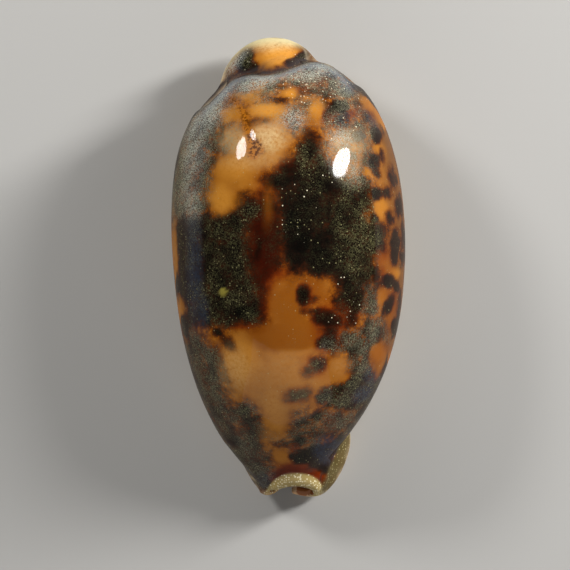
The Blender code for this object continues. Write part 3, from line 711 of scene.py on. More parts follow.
# Brighter amber.
BRIGHT_MARKS = (
    (-2.6, 53.0, 4.0, 2.2, 12, 0.9, 1.4), (-4.0, 55.8, 4.0, 1.6, 6, 0.5, 1.4),
    (-5.2, 39.0, 3.6, 2.2, 0, 0.85, 1.8), (-9.6, 42.6, 2.2, 1.2, 0, 0.6, 1.0),
    (0.4, 43.4, 2.0, 1.2, 0, 0.6, 1.0), (-15.6, 38.0, 1.6, 1.6, 0, 0.5, 1.0),
    (7.2, 39.6, 1.8, 2.2, 0, 0.3, 1.2), (-17.0, 17.0, 2.6, 3.4, 0, 0.55, 1.6),
    (-14.0, 25.0, 3.6, 3.0, 0, 0.45, 2.0), (22.6, 14.8, 1.6, 2.2, 0, 0.15, 1.2),
    (20.6, 41.0, 1.0, 2.6, 35, 0.2, 0.9), (-12.0, -23.0, 4.0, 5.0, 20, 0.5, 2.6),
    (-4.0, -38.0, 3.0, 6.0, 0, 0.4, 2.4),
)

# Pale grey grains.
FROST_MARKS = (
    (-20.8, 36.8, 2.4, 6.4, -38, 0.95, 2.2), (-23.6, 28.0, 2.4, 6.0, -8, 0.7, 2.4),
    (-24.6, 18.0, 2.0, 6.0, 0, 0.5, 2.4), (-9.0, 45.8, 6.0, 1.5, 12, 0.85, 1.4),
    (-16.0, 43.0, 3.0, 1.2, 42, 0.95, 1.2), (5.6, 48.6, 6.0, 1.5, 6, 0.7, 1.4),
    (13.0, 45.4, 3.4, 2.0, -40, 0.2, 1.6), (1.0, 37.0, 2.8, 2.6, 0, 0.55, 1.8),
    (13.4, 32.6, 3.4, 2.6, 0, 0.45, 2.2), (16.0, 26.4, 2.2, 4.0, 0, 0.35, 2.0),
    (-13.6, 50.9, 4.4, 1.1, 53, 0.85, 1.0), (7.4, 52.6, 2.4, 0.9, -38, 0.5, 0.9),
)

# Deeper amber.
DEEP_MARKS = (
    (3.0, -10.0, 8.0, 8.0, 0, 1.0, 3.4), (-0.6, -17.2, 10.0, 3.9, 0, 1.0, 1.2),
    (10.0, -20.0, 4.0, 3.0, 0, 0.8, 2.4), (22.4, -21.6, 3.0, 4.0, 20, 1.0, 2.0),
    (24.0, -26.0, 2.0, 4.0, -20, 1.0, 1.4), (20.8, 39.6, 1.6, 4.0, 35, 0.7, 1.4),
    (23.0, 14.4, 2.4, 3.4, 0, 0.35, 1.4), (12.0, -25.6, 3.0, 3.0, 0, 0.5, 2.0),
    (24.6, -8.0, 2.4, 8.0, 0, 0.9, 1.6), (24.0, 0.0, 2.4, 6.0, 0, 0.8, 1.6),
    (5.6, 36.6, 3.4, 2.4, 0, 0.5, 1.8),
)

# Olive specks.
SPECK_MARKS = (
    (17.0, 9.0, 6.0, 12.0, 0, 0.95, 3.0), (5.0, 27.0, 3.6, 5.0, 0, 0.8, 1.6),
    (-3.0, 21.6, 2.6, 2.6, 0, 0.6, 1.4), (7.0, 22.0, 4.6, 4.6, 0, 0.35, 2.0),
    (15.0, -9.0, 4.6, 6.0, 0, 0.3, 2.0), (3.0, 36.6, 4.0, 3.4, 0, 0.75, 1.8),
    (2.4, -32.0, 2.6, 1.4, 12, 0.9, 0.8), (6.8, -24.8, 2.2, 1.8, 30, 0.8, 0.8),
    (5.0, -38.0, 3.4, 2.2, 0, 0.8, 1.0), (-11.0, -36.6, 4.0, 2.0, -16, 0.9, 1.2),
    (3.6, -12.0, 1.0, 1.0, 0, 0.5, 0.6), (9.6, -12.4, 2.6, 1.2, 0, 0.45, 0.8),
    (13.0, 44.0, 4.0, 3.0, 0, 0.5, 1.8), (-11.0, 51.6, 2.0, 3.2, -20, 1.0, 0.8),
    (1.4, 51.8, 2.6, 1.4, 16, 0.8, 0.8), (3.0, 51.8, 2.6, 1.6, 0, 0.8, 0.8),
    (7.6, 52.0, 2.6, 2.0, -30, 0.9, 0.9), (18.0, 32.6, 2.0, 1.8, 0, 0.5, 1.0),
    (21.0, 20.0, 2.0, 6.0, 0, 0.4, 1.4),
)

# Painted glow: a dull cream haze painted beside the brightest highlights and where the lamps' soft
# reflections fall.
PAINTED_GLOW_MARKS = (
    (-5.4, 32.0, 4.6, 3.6, 10, 0.7, 2.6), (-13.6, 31.6, 3.6, 3.4, 0, 0.55, 2.4),
    (-9.0, 26.8, 6.4, 2.0, 6, 0.3, 1.8), (15.0, 31.0, 3.8, 3.4, 0, 0.45, 2.4),
    (-4.0, 56.0, 5.6, 1.8, 4, 0.9, 1.8), (15.0, 27.5, 3.6, 5.0, 0, 0.25, 2.6),
    (12.6, -24.6, 2.0, 2.6, -20, 0.12, 1.8), (-13.6, -26.0, 3.6, 5.6, 10, 0.3, 2.6),
    (-2.0, -29.0, 9.0, 7.4, 0, 0.1, 3.0),
)

# Redder pigment.
WARM_MARKS = (
    (-6.0, 6.0, 3.6, 14.0, 0, 1.0, 2.4), (-3.2, -1.6, 3.4, 1.6, 0, 0.8, 1.6),
    (-6.4, -8.0, 1.6, 6.0, 0, 0.7, 1.4), (0.4, 25.0, 3.6, 1.6, 0, 0.6, 1.2),
    (5.5, 46.9, 3.4, 1.8, 0, 0.7, 1.2), (2.6, 44.6, 3.0, 0.9, 0, 0.6, 1.0),
    (9.4, 38.0, 2.0, 2.6, 0, 0.7, 1.2), (16.6, 38.8, 2.2, 1.4, 0, 0.6, 1.2),
    (11.6, 18.0, 1.6, 1.6, 0, 0.6, 1.0), (23.2, 3.0, 1.6, 2.4, 0, 0.7, 1.2),
    (23.7, -2.2, 0.5, 2.2, 0, 0.9, 0.6), (26.2, -8.0, 1.2, 4.0, 0, 0.6, 1.0),
    (15.4, -10.4, 3.0, 3.0, 0, 0.7, 1.4), (12.6, -13.6, 2.6, 2.6, 0, 0.8, 1.2),
    (4.2, -7.4, 3.0, 4.0, 0, 0.6, 1.6), (9.8, -15.0, 4.6, 6.4, 0, 0.7, 2.0),
    (6.4, -25.0, 3.4, 3.2, 0, 0.35, 1.6), (2.2, -32.0, 4.2, 2.8, 16, 0.3, 1.4),
    (22.3, -28.6, 0.9, 1.0, 0, 0.9, 0.8), (19.3, -34.6, 1.2, 0.9, 0, 0.9, 0.8),
    (1.2, -50.2, 4.6, 1.3, 0, 0.9, 1.0), (1.4, -45.2, 1.3, 1.1, 0, 0.8, 0.8),
    (10.6, -38.4, 2.2, 2.2, 0, 0.5, 1.4), (-11.4, -14.8, 3.4, 0.7, 4, 0.8, 0.8),
    (-17.8, -22.6, 1.2, 3.0, 0, 0.5, 1.2),
)

# Painted blue sheen: the blue-grey reflection of the gloss, painted over dark pigment.
BLUE_SHEEN_MARKS = (
    (-23.6, -1.0, 1.8, 13.0, 0, 0.8, 1.6), (-21.6, -11.0, 1.6, 4.0, 0, 0.7, 1.2),
    (20.4, -27.4, 1.8, 2.4, 0, 0.7, 1.2), (18.3, -31.8, 2.8, 1.7, 34, 0.9, 1.0),
    (9.6, -45.6, 3.6, 3.6, 20, 0.8, 1.4), (17.4, 32.4, 2.0, 1.6, 0, 0.6, 1.2),
    (14.0, 37.0, 2.8, 2.0, 0, 0.5, 1.4), (-15.6, 43.6, 4.6, 1.3, 42, 0.9, 1.2),
    (-21.4, 37.6, 1.8, 3.6, -38, 0.6, 1.4), (9.6, 48.6, 4.4, 1.0, -20, 0.8, 1.0),
    (14.6, 45.4, 2.6, 1.6, -45, 1.0, 1.2), (-13.2, 49.0, 1.5, 2.2, 10, 0.9, 1.0),
    (-5.8, -53.0, 2.4, 2.0, 0, 0.6, 1.4), (20.4, 37.0, 1.0, 2.6, 30, 0.6, 1.0),
    (1.6, 36.0, 3.2, 2.6, 0, 0.3, 1.6),
)

# Single pale flecks.
SPARK_MARKS = (
    (7.0, 45.5, 9.0, 4.6, 0, 1.3, 2.4), (-11.0, 51.8, 2.4, 3.2, -20, 1.2, 1.0),
    (2.4, 51.8, 3.0, 1.6, 16, 0.7, 1.0), (13.0, 37.5, 4.0, 3.4, 0, 0.45, 2.0),
    (11.0, 22.0, 3.6, 2.4, 0, 0.5, 1.6), (1.5, 13.0, 5.0, 9.0, 0, 0.22, 3.0),
    (14.0, -8.0, 5.0, 6.0, 0, 0.35, 2.0), (14.0, 38.0, 6.0, 7.0, 0, 0.45, 2.4),
    (-9.0, -13.8, 2.4, 1.0, 0, 0.5, 1.0),
)

# A mark's half depth, above and below the plane of its middle: this much, and so much of its longer half.
MARK_DEPTH = 2.0
MARK_DEPTH_SHARE = 1.5

# What the camera sees is above this height, faces up more than this, and is clear of the lips' edges.
SEEN_Z = 4.0
SEEN_UP = 0.05
LIP_EDGE = 5.5

# How far a surface faces up where it counts as the back, as the upper side, as a steep flank, and where
# painted shade darkens it.
BACK_UP = (0.1, 0.3)
UPPER_UP = (-0.5, -0.1)
STEEP_UP = (0.45, 0.05)
FLANK_SHADE_UP = (0.85, 0.25)

# Noise that makes the edges of the markings uneven, each as (size, reach). Marks take a share of it.
WARP_SEED = 4
WARPS = ((4.2, 1.1), (1.7, 0.7))
MARK_WARP = 0.35
STEEP_WARP = 2.2

# Blots on the steep flanks: their strength, their size and the values of noise between which they grow.
FLANK_BLOTS = (0.78, 6.5, (0.10, 0.34))

# Soft brown spots along the flanks, which the view from above doesn't show.
SPOT_SEED = 7
SPOT_COUNT = 90
SPOT_RADII = (1.6, 3.6)
SPOT_STRETCH = (0.6, 0.9)
SPOT_EDGE = (1.25, 0.55)
SPOTS_UP = -0.05
SPOTS_Z = (5.0, 16.0)
SPOTS_FADE_Z = (2.0, 14.0)

# Where finishes begin and are full: distances from a line, heights or places along Y, in millimetres.
HALO_EDGE = (5.5, 2.5)
CALLUS_EDGE = (1.9, 1.3)
LEDGE_EDGE = (3.2, 2.2)
LEDGE_TOP_Z = (13.0, 10.0)
LEDGE_FOOT_Z = (2.5, 6.5)
BEAK_RIM_EDGE = (3.0, 0.2)
SCAR_STAIN = (1.5, 0.5)
BASE_EDGE = (-1.0, -6.5)
MOUTH_Y = (-47.0, -53.0)
BETWEEN_TEETH = (8.0, 3.0)

# How much of the uneven noise moves the edges of the base and of the scar.
BASE_UNEVEN = 2.0
SCAR_UNEVEN = 0.7

# Bands of colour along the crest, in the same form as the low relief.
CREST_BAND = (1.0, 0.7, 0.7)
# The second band is painted shade in the groove just outside the crest.
CREASE_SHADE_BAND = (1.0, -0.9, 0.7)

# The dark strip outside the crest's left end, which stops at the beak's sloping side.
STRIP_INNER_EDGE = (-0.2, -1.0)
STRIP_OUTER_EDGE = (-5.5, -3.0)
STRIP_X = (-15.4, -16.4)
STRIP_Y = (33.0, 38.0)
BEAK_SIDE_SLOPE = 0.9
BEAK_SIDE_X = -16.0
BEAK_SIDE_Y = (47.6, 46.4)

# How the fields weigh on each other.
HALO_CLEARS = 0.6
HALO_PIGMENT = 0.30
MARKS_COVER = (0.0, 0.35)
PIGMENT_COVERS = (0.15, 0.5)
CLEAR_LIFTS_VEIL = 0.8
WARM_IS_EVEN = 0.75
MARKS_ON_BEAK_RIM = 0.9
SPECKS_EVERYWHERE = 0.16
EDGE_RISES = (0.04, 0.25)
BROKEN_GROUND = 0.20
BROKEN_EDGE = 0.60
BROKEN_VEIL = 0.7
PATCH_SIZE = 4.0
PATCH_MEAN = 0.85
PATCH_SWING = 1.3
PATCH_LIMITS = (0.1, 1.3)
FROST_MEAN = 0.6
FROST_SWING = 0.5
FROST_LIMIT = 1.1


def blotch_fields(shape):
    """The strongest of the blotches at each point, on the upper side alone: pigment, veil and specks."""
    places = shape["warped"]
    fields = np.zeros((3, len(places)))
    for outline, *finishes in BLOTCHES:
        path = smooth_path(outline + outline[:1], per_span=3)
        distance = np.abs(beside(places, path)[0])
        inside = np.zeros(len(places), bool)
        for (ax, ay), (bx, by) in zip(path, path[1:]):
            if ay != by:
                crosses = (ay > places[:, 1]) != (by > places[:, 1])
                inside ^= crosses & (places[:, 0] < ax + (bx - ax) * (places[:, 1] - ay) / (by - ay))
        depth = np.where(inside, distance, -distance)
        for i, (strength, edge) in enumerate(finishes):
            fields[i] = np.maximum(fields[i], strength * ramp(depth, -edge, edge))
    return fields * shape["upper"]


def mark_field(shape, marks):
    """The strongest of these marks at each point: full well inside it and half of that on its outline.

    A mark is an ellipse as seen from above, and stays on its own side of the shell.
    """
    field = np.zeros(len(shape["points"]))
    for x, y, half_width, half_length, turn, strength, edge in marks:
        from_centre = shape["seen"] - (x, y)
        centre = np.argmin(np.where(shape["seen_side"], np.sum(from_centre**2, axis=1), FAR))
        angle = math.radians(turn)
        plan = shape["nudged"] - (x, y)
        across = (plan[:, 0] * math.cos(angle) + plan[:, 1] * math.sin(angle)) / half_width
        along = (plan[:, 1] * math.cos(angle) - plan[:, 0] * math.sin(angle)) / half_length
        below = (shape["points"] - shape["points"][centre]) @ shape["normals"][centre]
        below = below / (MARK_DEPTH + MARK_DEPTH_SHARE * max(half_width, half_length))
        inside = (1.0 - np.sqrt(across**2 + along**2 + below**2)) * min(half_width, half_length)
        field = np.maximum(field, strength * ramp(inside, -edge, edge))
    return field


def noise_field(points, size):
    """Smooth noise between -1 and 1 with features of this size in millimetres."""
    return np.array([noise.noise(Vector(p) / size) for p in points])


def tooth_field(y, lip_run):
    """1 on the crest of each tooth, 0 beside it and away from the lips."""
    ridges = np.maximum(0.0, np.cos(2.0 * math.pi * (y - FIRST_TOOTH_Y) / TOOTH_PITCH)) ** TOOTH_SHARPNESS
    grown = ramp(y, FIRST_TOOTH_Y - 2.0, FIRST_TOOTH_Y + TEETH_GROW_OVER)
    grown = grown * ramp(y, LAST_TOOTH_Y + 2.0, LAST_TOOTH_Y - TEETH_GROW_OVER)
    there = np.abs(y - 0.5 * (FIRST_TOOTH_Y + LAST_TOOTH_Y)) < 0.5 * (LAST_TOOTH_Y - FIRST_TOOTH_Y) + 1.0
    size = SMALLEST_TOOTH + (1.0 - SMALLEST_TOOTH) * grown
    return ridges * size * there * ramp(lip_run, 0.5 * LIP_WALL + TOOTH_REACH, 0.5 * LIP_WALL)


def ridge(distance, form):
    """A smooth ridge or groove along a line, given as (height, distance from the line, half width)."""
    height, middle, half_width = form
    return height * np.exp(-(((distance - middle) / half_width) ** 2))


def measure(shell):
    """Where each point is: its place, normal, place as seen from above and distances from the lines."""
    points = read_points(shell) / MM - CENTRE_SHIFT
    normals = read_points(shell, "normal")
    skin = read_attribute(shell, "within") < 0.5
    seen = seen_from_above(points)
    shape = {"points": points, "normals": normals, "seen": seen, "skin": skin}
    shape["back"] = skin * ramp(normals[:, 2], *BACK_UP)
    y, z = points[:, 1], points[:, 2]

    crest, run = beside(seen, CREST)
    ends = ramp(run, 0.0, CREST_FADES) * ramp(run, 1.0, 1.0 - CREST_FADES)
    shape["crest"] = crest
    shape["crest_share"] = ends * skin * (y > CREST_Y) * ramp(z, *CREST_Z)

    scar, run = beside(seen, SCAR)
    at_top, at_foot = SCAR_WIDENS
    scar = np.abs(scar) * (at_top - (at_top - at_foot) * run)
    shape["scar"] = np.minimum(scar, np.abs(beside(seen, SCAR_FORK)[0]) + FORK_THINNER)
    shape["wart"] = np.where(shape["back"] > 0.5, np.linalg.norm(seen - WART, axis=1), FAR)

    for name, path in (("collar", COLLAR), ("ledge", LEDGE), ("ledge_groove", LEDGE_GROOVE)):
        shape[name] = np.where(skin & (z > FRONT_LINES_Z), np.abs(beside(seen, path)[0]), FAR)
    shape["beak_rim"] = np.where(skin & (z > BEAK_RIM_Z), np.abs(beside(seen, BEAK_RIM)[0]), FAR)
    return shape


def carve(shell):
    """Raises and sinks the surface along its normals: teeth, crest, scar, wart, the collar and slow waves."""
    shape = measure(shell)
    points = shape["points"]
    y = points[:, 1]
    teeth = TOOTH_HEIGHT * tooth_field(y, read_attribute(shell, "lip_run"))
    crest = ridge(shape["crest"], CREST_LIP) + ridge(shape["crest"], CREST_GROOVE)
    scar = ridge(shape["scar"], SCAR_EDGE) + ridge(shape["scar"], SCAR_BED)
    scar = scar * (1.0 + SCAR_ROUGHNESS * noise_field(points, SCAR_GRAIN))
    collar = ridge(shape["collar"], COLLAR_RIM) * ramp(y, *COLLAR_GROWS)
    groove = ridge(shape["ledge_groove"], GROOVE_BED)
    foot, top = WART_SLOPE
    wart = WART_HEIGHT * ramp(shape["wart"], foot * WART_RADIUS, top * WART_RADIUS)
    waves = sum(height * noise_field(points, size) for height, size in WAVES)
    height = teeth + crest * shape["crest_share"] + scar * shape["back"] + collar + groove + wart
    height = height + waves * shape["skin"]
    points = points + shape["normals"] * height[:, None]
    points[:, 2] = rest_on_floor(points[:, 2])
    shell.data.vertices.foreach_set("co", ((points + CENTRE_SHIFT) * MM).ravel())
    shell.data.update()


def smooth_front_corner(shell):
    """Smooths the outer lip's corner at the front, which the lumps leave creased."""
    x, y, z = (read_points(shell) / MM - CENTRE_SHIFT).T
    corner = (x < CORNER_X) & (y > CORNER_Y[0]) & (y < CORNER_Y[1]) & (z > CORNER_Z)
    corner = corner & (read_attribute(shell, "within") < 0.5)
    deselect_all()
    shell.select_set(True)
    bpy.context.view_layer.objects.active = shell
    for elements in (shell.data.polygons, shell.data.edges):
        elements.foreach_set("select", np.zeros(len(elements), bool))
    shell.data.vertices.foreach_set("select", corner)
    bpy.ops.object.mode_set(mode="EDIT")
    bpy.ops.mesh.vertices_smooth(factor=0.5, repeat=CORNER_PASSES)
    bpy.ops.object.mode_set(mode="OBJECT")


def side_spots(points, normals, skin):
    """Soft brown spots along the flanks below the margin, which fade towards the base."""
    draw = np.random.default_rng(SPOT_SEED)
    field = np.zeros(len(points))
    z = points[:, 2]
    flank = np.flatnonzero(skin & (normals[:, 2] < SPOTS_UP) & (z > SPOTS_Z[0]) & (z < SPOTS_Z[1]))
    for centre in points[draw.choice(flank, SPOT_COUNT)]:
        radius = draw.uniform(*SPOT_RADII)
        stretch = np.array((1.0, draw.uniform(*SPOT_STRETCH), 1.0))
        reach = np.linalg.norm((points - centre) * stretch, axis=1) / radius
        field = np.maximum(field, ramp(reach, *SPOT_EDGE) * ramp(centre[2], *SPOTS_FADE_Z))
    return field * skin


def place_markings(shape, lip_run):
    """Where the markings are looked up: shifted unevenly, and more so on the steep flanks."""
    noise.seed_set(WARP_SEED)
    points, up = shape["points"], shape["normals"][:, 2]
    warp = np.zeros(points.shape)
    for size, reach in WARPS:
        warp += reach * np.array([list(noise.noise_vector(Vector(p) / size)) for p in points])
    shape["steep"] = shape["skin"] * ramp(up, *STEEP_UP)
    shift = (1.0 + STEEP_WARP * shape["steep"])[:, None] * warp[:, :2]
    shape["warp"] = warp
    shape["warped"] = shape["seen"] + shift
    shape["nudged"] = shape["seen"] + MARK_WARP * shift
    shape["seen_side"] = shape["skin"] & (up > SEEN_UP) & (points[:, 2] > SEEN_Z) & (lip_run > LIP_EDGE)
    shape["upper"] = shape["skin"] * ramp(up, *UPPER_UP)


def crest_strip(shape):
    """1 in the dark strip outside the crest's left end."""
    x, y = shape["points"][:, 0], shape["points"][:, 1]
    seen_x, seen_y = shape["seen"].T
    across = ramp(shape["crest"], *STRIP_INNER_EDGE) * ramp(shape["crest"], *STRIP_OUTER_EDGE)
    below_beak = ramp(seen_y - BEAK_SIDE_SLOPE * (seen_x - BEAK_SIDE_X), *BEAK_SIDE_Y)
    return shape["skin"] * across * ramp(x, *STRIP_X) * ramp(y, *STRIP_Y) * below_beak


def paint(shell):
    """Stores the markings on the shell's points, as smooth fields for its material."""
    shape = measure(shell)
    lip_run = read_attribute(shell, "lip_run")
    place_markings(shape, lip_run)
    points, skin, up = shape["points"], shape["skin"], shape["normals"][:, 2]
    y, z = points[:, 1], points[:, 2]
    uneven = shape["warp"][:, 2]

    clear = mark_field(shape, CLEAR_MARKS)
    strength, size, limits = FLANK_BLOTS
    blots = strength * shape["steep"] * ramp(noise_field(points, size), *limits)
    marks = np.maximum(mark_field(shape, DARK_MARKS), blots)
    pigment, veil, specks = blotch_fields(shape)
    pigment = np.maximum(pigment, mark_field(shape, CORES))
    halo = shape["back"] * ramp(shape["collar"], *HALO_EDGE)
    warm = np.maximum(mark_field(shape, WARM_MARKS), halo)
    dark = np.maximum(pigment * (1.0 - clear) * (1.0 - HALO_CLEARS * halo), marks)
    dark = np.maximum(dark, HALO_PIGMENT * halo)
    open_ground = 1.0 - ramp(marks, *MARKS_COVER)
    veil = veil * (1.0 - CLEAR_LIFTS_VEIL * clear)
    specks = np.maximum(specks, mark_field(shape, SPECK_MARKS)) * (1.0 - clear)
    patchy = np.clip(PATCH_MEAN + PATCH_SWING * noise_field(points, PATCH_SIZE), *PATCH_LIMITS)
    frosted = np.minimum(FROST_MEAN + FROST_SWING * patchy, FROST_LIMIT)
    broken = BROKEN_GROUND + BROKEN_EDGE * ramp(dark, *EDGE_RISES) + BROKEN_VEIL * veil
    strip = crest_strip(shape)
    crest, share = shape["crest"], shape["crest_share"]
    tooth = tooth_field(y, lip_run)
    above_margin = z - MARGIN_Z + MARGIN_DROP_IN_FRONT * ramp(y, *MARGIN_DROPS)
    ledge_height = ramp(z, *LEDGE_TOP_Z) * ramp(z + uneven, *LEDGE_FOOT_Z)
    beak_open = (1.0 - MARKS_ON_BEAK_RIM * marks) * (1.0 - strip)
    wart_foot, wart_top = WART_EDGE
    fields = {
        "dark": dark,
        "broken": broken * (1.0 - WARM_IS_EVEN * warm),
        "warm": warm,
        "clear": clear * open_ground,
        "bright": mark_field(shape, BRIGHT_MARKS) * open_ground,
        "deep": mark_field(shape, DEEP_MARKS) * open_ground * (1.0 - ramp(dark, *PIGMENT_COVERS)),
        "frost": mark_field(shape, FROST_MARKS) * frosted,
        # Painted glow beside the highlights and over the lamps' soft reflections.
        "painted_glow": mark_field(shape, PAINTED_GLOW_MARKS),
        # Painted reflection: a blue sheen over the dark places.
        "blue_sheen": mark_field(shape, BLUE_SHEEN_MARKS),
        "sparks": mark_field(shape, SPARK_MARKS),
        "veil": veil * patchy,
        "specks": np.maximum(specks, SPECKS_EVERYWHERE * shape["upper"]) * patchy,
        # Painted shade: the flanks darken the more they turn away from facing up.
        "flank": skin * ramp(up, *FLANK_SHADE_UP),
        "base": ramp(above_margin + BASE_UNEVEN * uneven, *BASE_EDGE) * (1.0 - strip),
        "spots": side_spots(points + shape["warp"], shape["normals"], skin),
        "crest_rim": share * ridge(crest, CREST_BAND),
        # Painted shade in the groove outside the crest, together with the dark strip beyond its left end.
        "crease_shade_and_strip": np.maximum(share * ridge(crest, CREASE_SHADE_BAND), strip),
        "scar": shape["back"] * ramp(shape["scar"] + SCAR_UNEVEN * uneven, *SCAR_STAIN),
        "wart": ramp(shape["wart"], wart_foot * WART_RADIUS, wart_top * WART_RADIUS),
        "callus": ramp(shape["collar"], *CALLUS_EDGE),
        # The ledge's pale callus, painted dim olive: its own cream with painted shade.
        "ledge": ramp(shape["ledge"], *LEDGE_EDGE) * ledge_height,
        "beak_rim": ramp(shape["beak_rim"], *BEAK_RIM_EDGE) * beak_open,
        "between_teeth": ramp(lip_run, *BETWEEN_TEETH) * (1.0 - tooth),
        "tooth": tooth,
        "mouth": (1.0 - skin) * ramp(y, *MOUTH_Y),
    }
    for name, values in fields.items():
        add_attribute(shell, name, values)


def linear(hex_colour):
    """An sRGB hex colour as linear RGBA."""
    parts = [int(hex_colour[i : i + 2], 16) / 255.0 for i in (0, 2, 4)]
    return [p / 12.92 if p <= 0.04045 else ((p + 0.055) / 1.055) ** 2.4 for p in parts] + [1.0]


def add_node(tree, kind, inputs=(), **settings):
    """Adds a node with its settings. inputs gives each named or numbered input a value or a socket."""
    made = tree.nodes.new(kind)
    for key, value in settings.items():
        setattr(made, key, value)
    for key, value in dict(inputs).items():
        if isinstance(value, bpy.types.NodeSocket):
            tree.links.new(value, made.inputs[key])
        else:
            made.inputs[key].default_value = value
    return made


def new_material(name):
    material = bpy.data.materials.new(name)
    material.use_nodes = True
    return material, material.node_tree, material.node_tree.nodes["Principled BSDF"]


def set_ramp(ramp_node, stops):
    """Gives a colour ramp its stops, each a position and a hex colour."""
    elements = ramp_node.color_ramp.elements
    while len(elements) > 1:
        elements.remove(elements[-1])
    for i, (position, colour) in enumerate(stops):
        element = elements[0] if i == 0 else elements.new(position)
        element.position = position
        element.color = linear(colour)


# The enamel's colours. Pigment runs from none to the densest, plain and where it is redder.
PIGMENT = (
    (0.0, "A66824"), (0.12, "905214"), (0.28, "6E380C"), (0.42, "48200A"), (0.56, "2A140A"),
    (0.74, "140C08"), (1.0, "070605"),
)
WARM_PIGMENT = ((0.0, "8E400C"), (0.22, "702608"), (0.42, "401004"), (0.62, "1E0904"), (0.9, "0A0504"))

# Coats over the pigment: the field, the noise that breaks it up, that noise's limits, strength and colour.
COATS = (
    # Painted shade on the flanks that turn away from the top.
    ("flank", "slow", 0.0, 0.2, 0.66, "2A1408"),
    ("clear", "slow", 0.0, 0.2, 0.75, "B5731C"),
    ("deep", "slow", 0.0, 0.2, 0.72, "7C3E08"),
    ("bright", "mottle", 0.0, 0.6, 0.80, "E09A3C"),
    # Painted glow: a cream haze beside the highlights.
    ("painted_glow", "mottle", 0.1, 0.7, 0.80, "E6CA90"),
    ("veil", "mottle", 0.30, 0.72, 0.50, "55503E"),
    ("veil", "grain", 0.44, 0.66, 0.58, "A09C84"),
    ("specks", "grain", 0.48, 0.66, 0.52, "6E6A48"),
    ("specks", "mottle", 0.50, 0.72, 0.34, "6E6A44"),
    # Painted reflection: blue-grey sheen over dark pigment.
    ("blue_sheen", "mottle", 0.2, 0.7, 0.55, "2A3850"),
    ("crest_rim", "mottle", 0.1, 0.5, 0.50, "76828C"),
    ("frost", "grain", 0.36, 0.66, 0.84, "C6C8BA"),
    # Painted shade in the crest's groove, and the dark strip.
    ("crease_shade_and_strip", "mottle", 0.1, 0.5, 0.86, "2E2426"),
    ("scar", "slow", 0.0, 0.2, 0.7, "A8620E"),
    ("scar", "mottle", 0.46, 0.58, 0.9, "4A2206"),
    ("wart", "slow", 0.0, 0.2, 0.9, "8E8238"),
    ("base", "slow", 0.0, 0.2, 1.0, "DCC6A4"),
    ("base", "slow", 0.45, 0.7, 0.4, "C39A6C"),
    ("spots", "mottle", 0.2, 0.6, 0.8, "5E3414"),
    # Painted shade: the ledge's cream callus in a dimmed copy of the collar's colour.
    ("ledge", "slow", 0.0, 0.2, 0.92, "574A28"),
    ("beak_rim", "grain", 0.0, 0.5, 0.92, "E2D4A0"),
    ("callus", "slow", 0.0, 0.2, 0.88, "A8945E"),
    ("between_teeth", "slow", 0.0, 0.2, 0.55, "B98A58"),
    ("tooth", "slow", 0.0, 0.2, 0.85, "EEE4CF"),
    ("within", "slow", 0.0, 0.2, 0.9, "A88462"),
    ("mouth", "slow", 0.0, 0.2, 0.85, "84440F"),
)

# Pale round grains in the coats: the field, spacing, radius, share of places taken, strength and colour.
GRAINS = (
    ("specks", 0.55, 0.13, 0.50, 0.50, "A8A070"),
    ("sparks", 0.75, 0.13, 0.65, 0.95, "EAE0C0"),
    ("callus", 0.55, 0.20, 0.80, 0.75, "EFE6C2"),
    # The ledge's grains, painted dimmer than the collar's as painted shade.
    ("ledge", 0.55, 0.17, 0.75, 0.62, "B8AC7C"),
)

PAINTED_FIELDS = ("dark", "broken", "warm") + tuple(dict.fromkeys(row[0] for row in COATS + GRAINS))

# Noise by feature size in millimetres and detail. The finest is coarser than the shell's real grain.
NOISES = (
    ("grain", 0.28, 2.0), ("mottle", 0.8, 3.0), ("edge", 1.9, 4.0), ("cloud", 4.5, 3.0), ("slow", 9.0, 2.0),
)
EDGE_NOISES = (("cloud", 1.0), ("edge", 0.8), ("mottle", 0.6), ("grain", 0.6))
GRAIN_EDGE = (-0.08, 0.12)
SMALLEST_GRAIN = 0.4


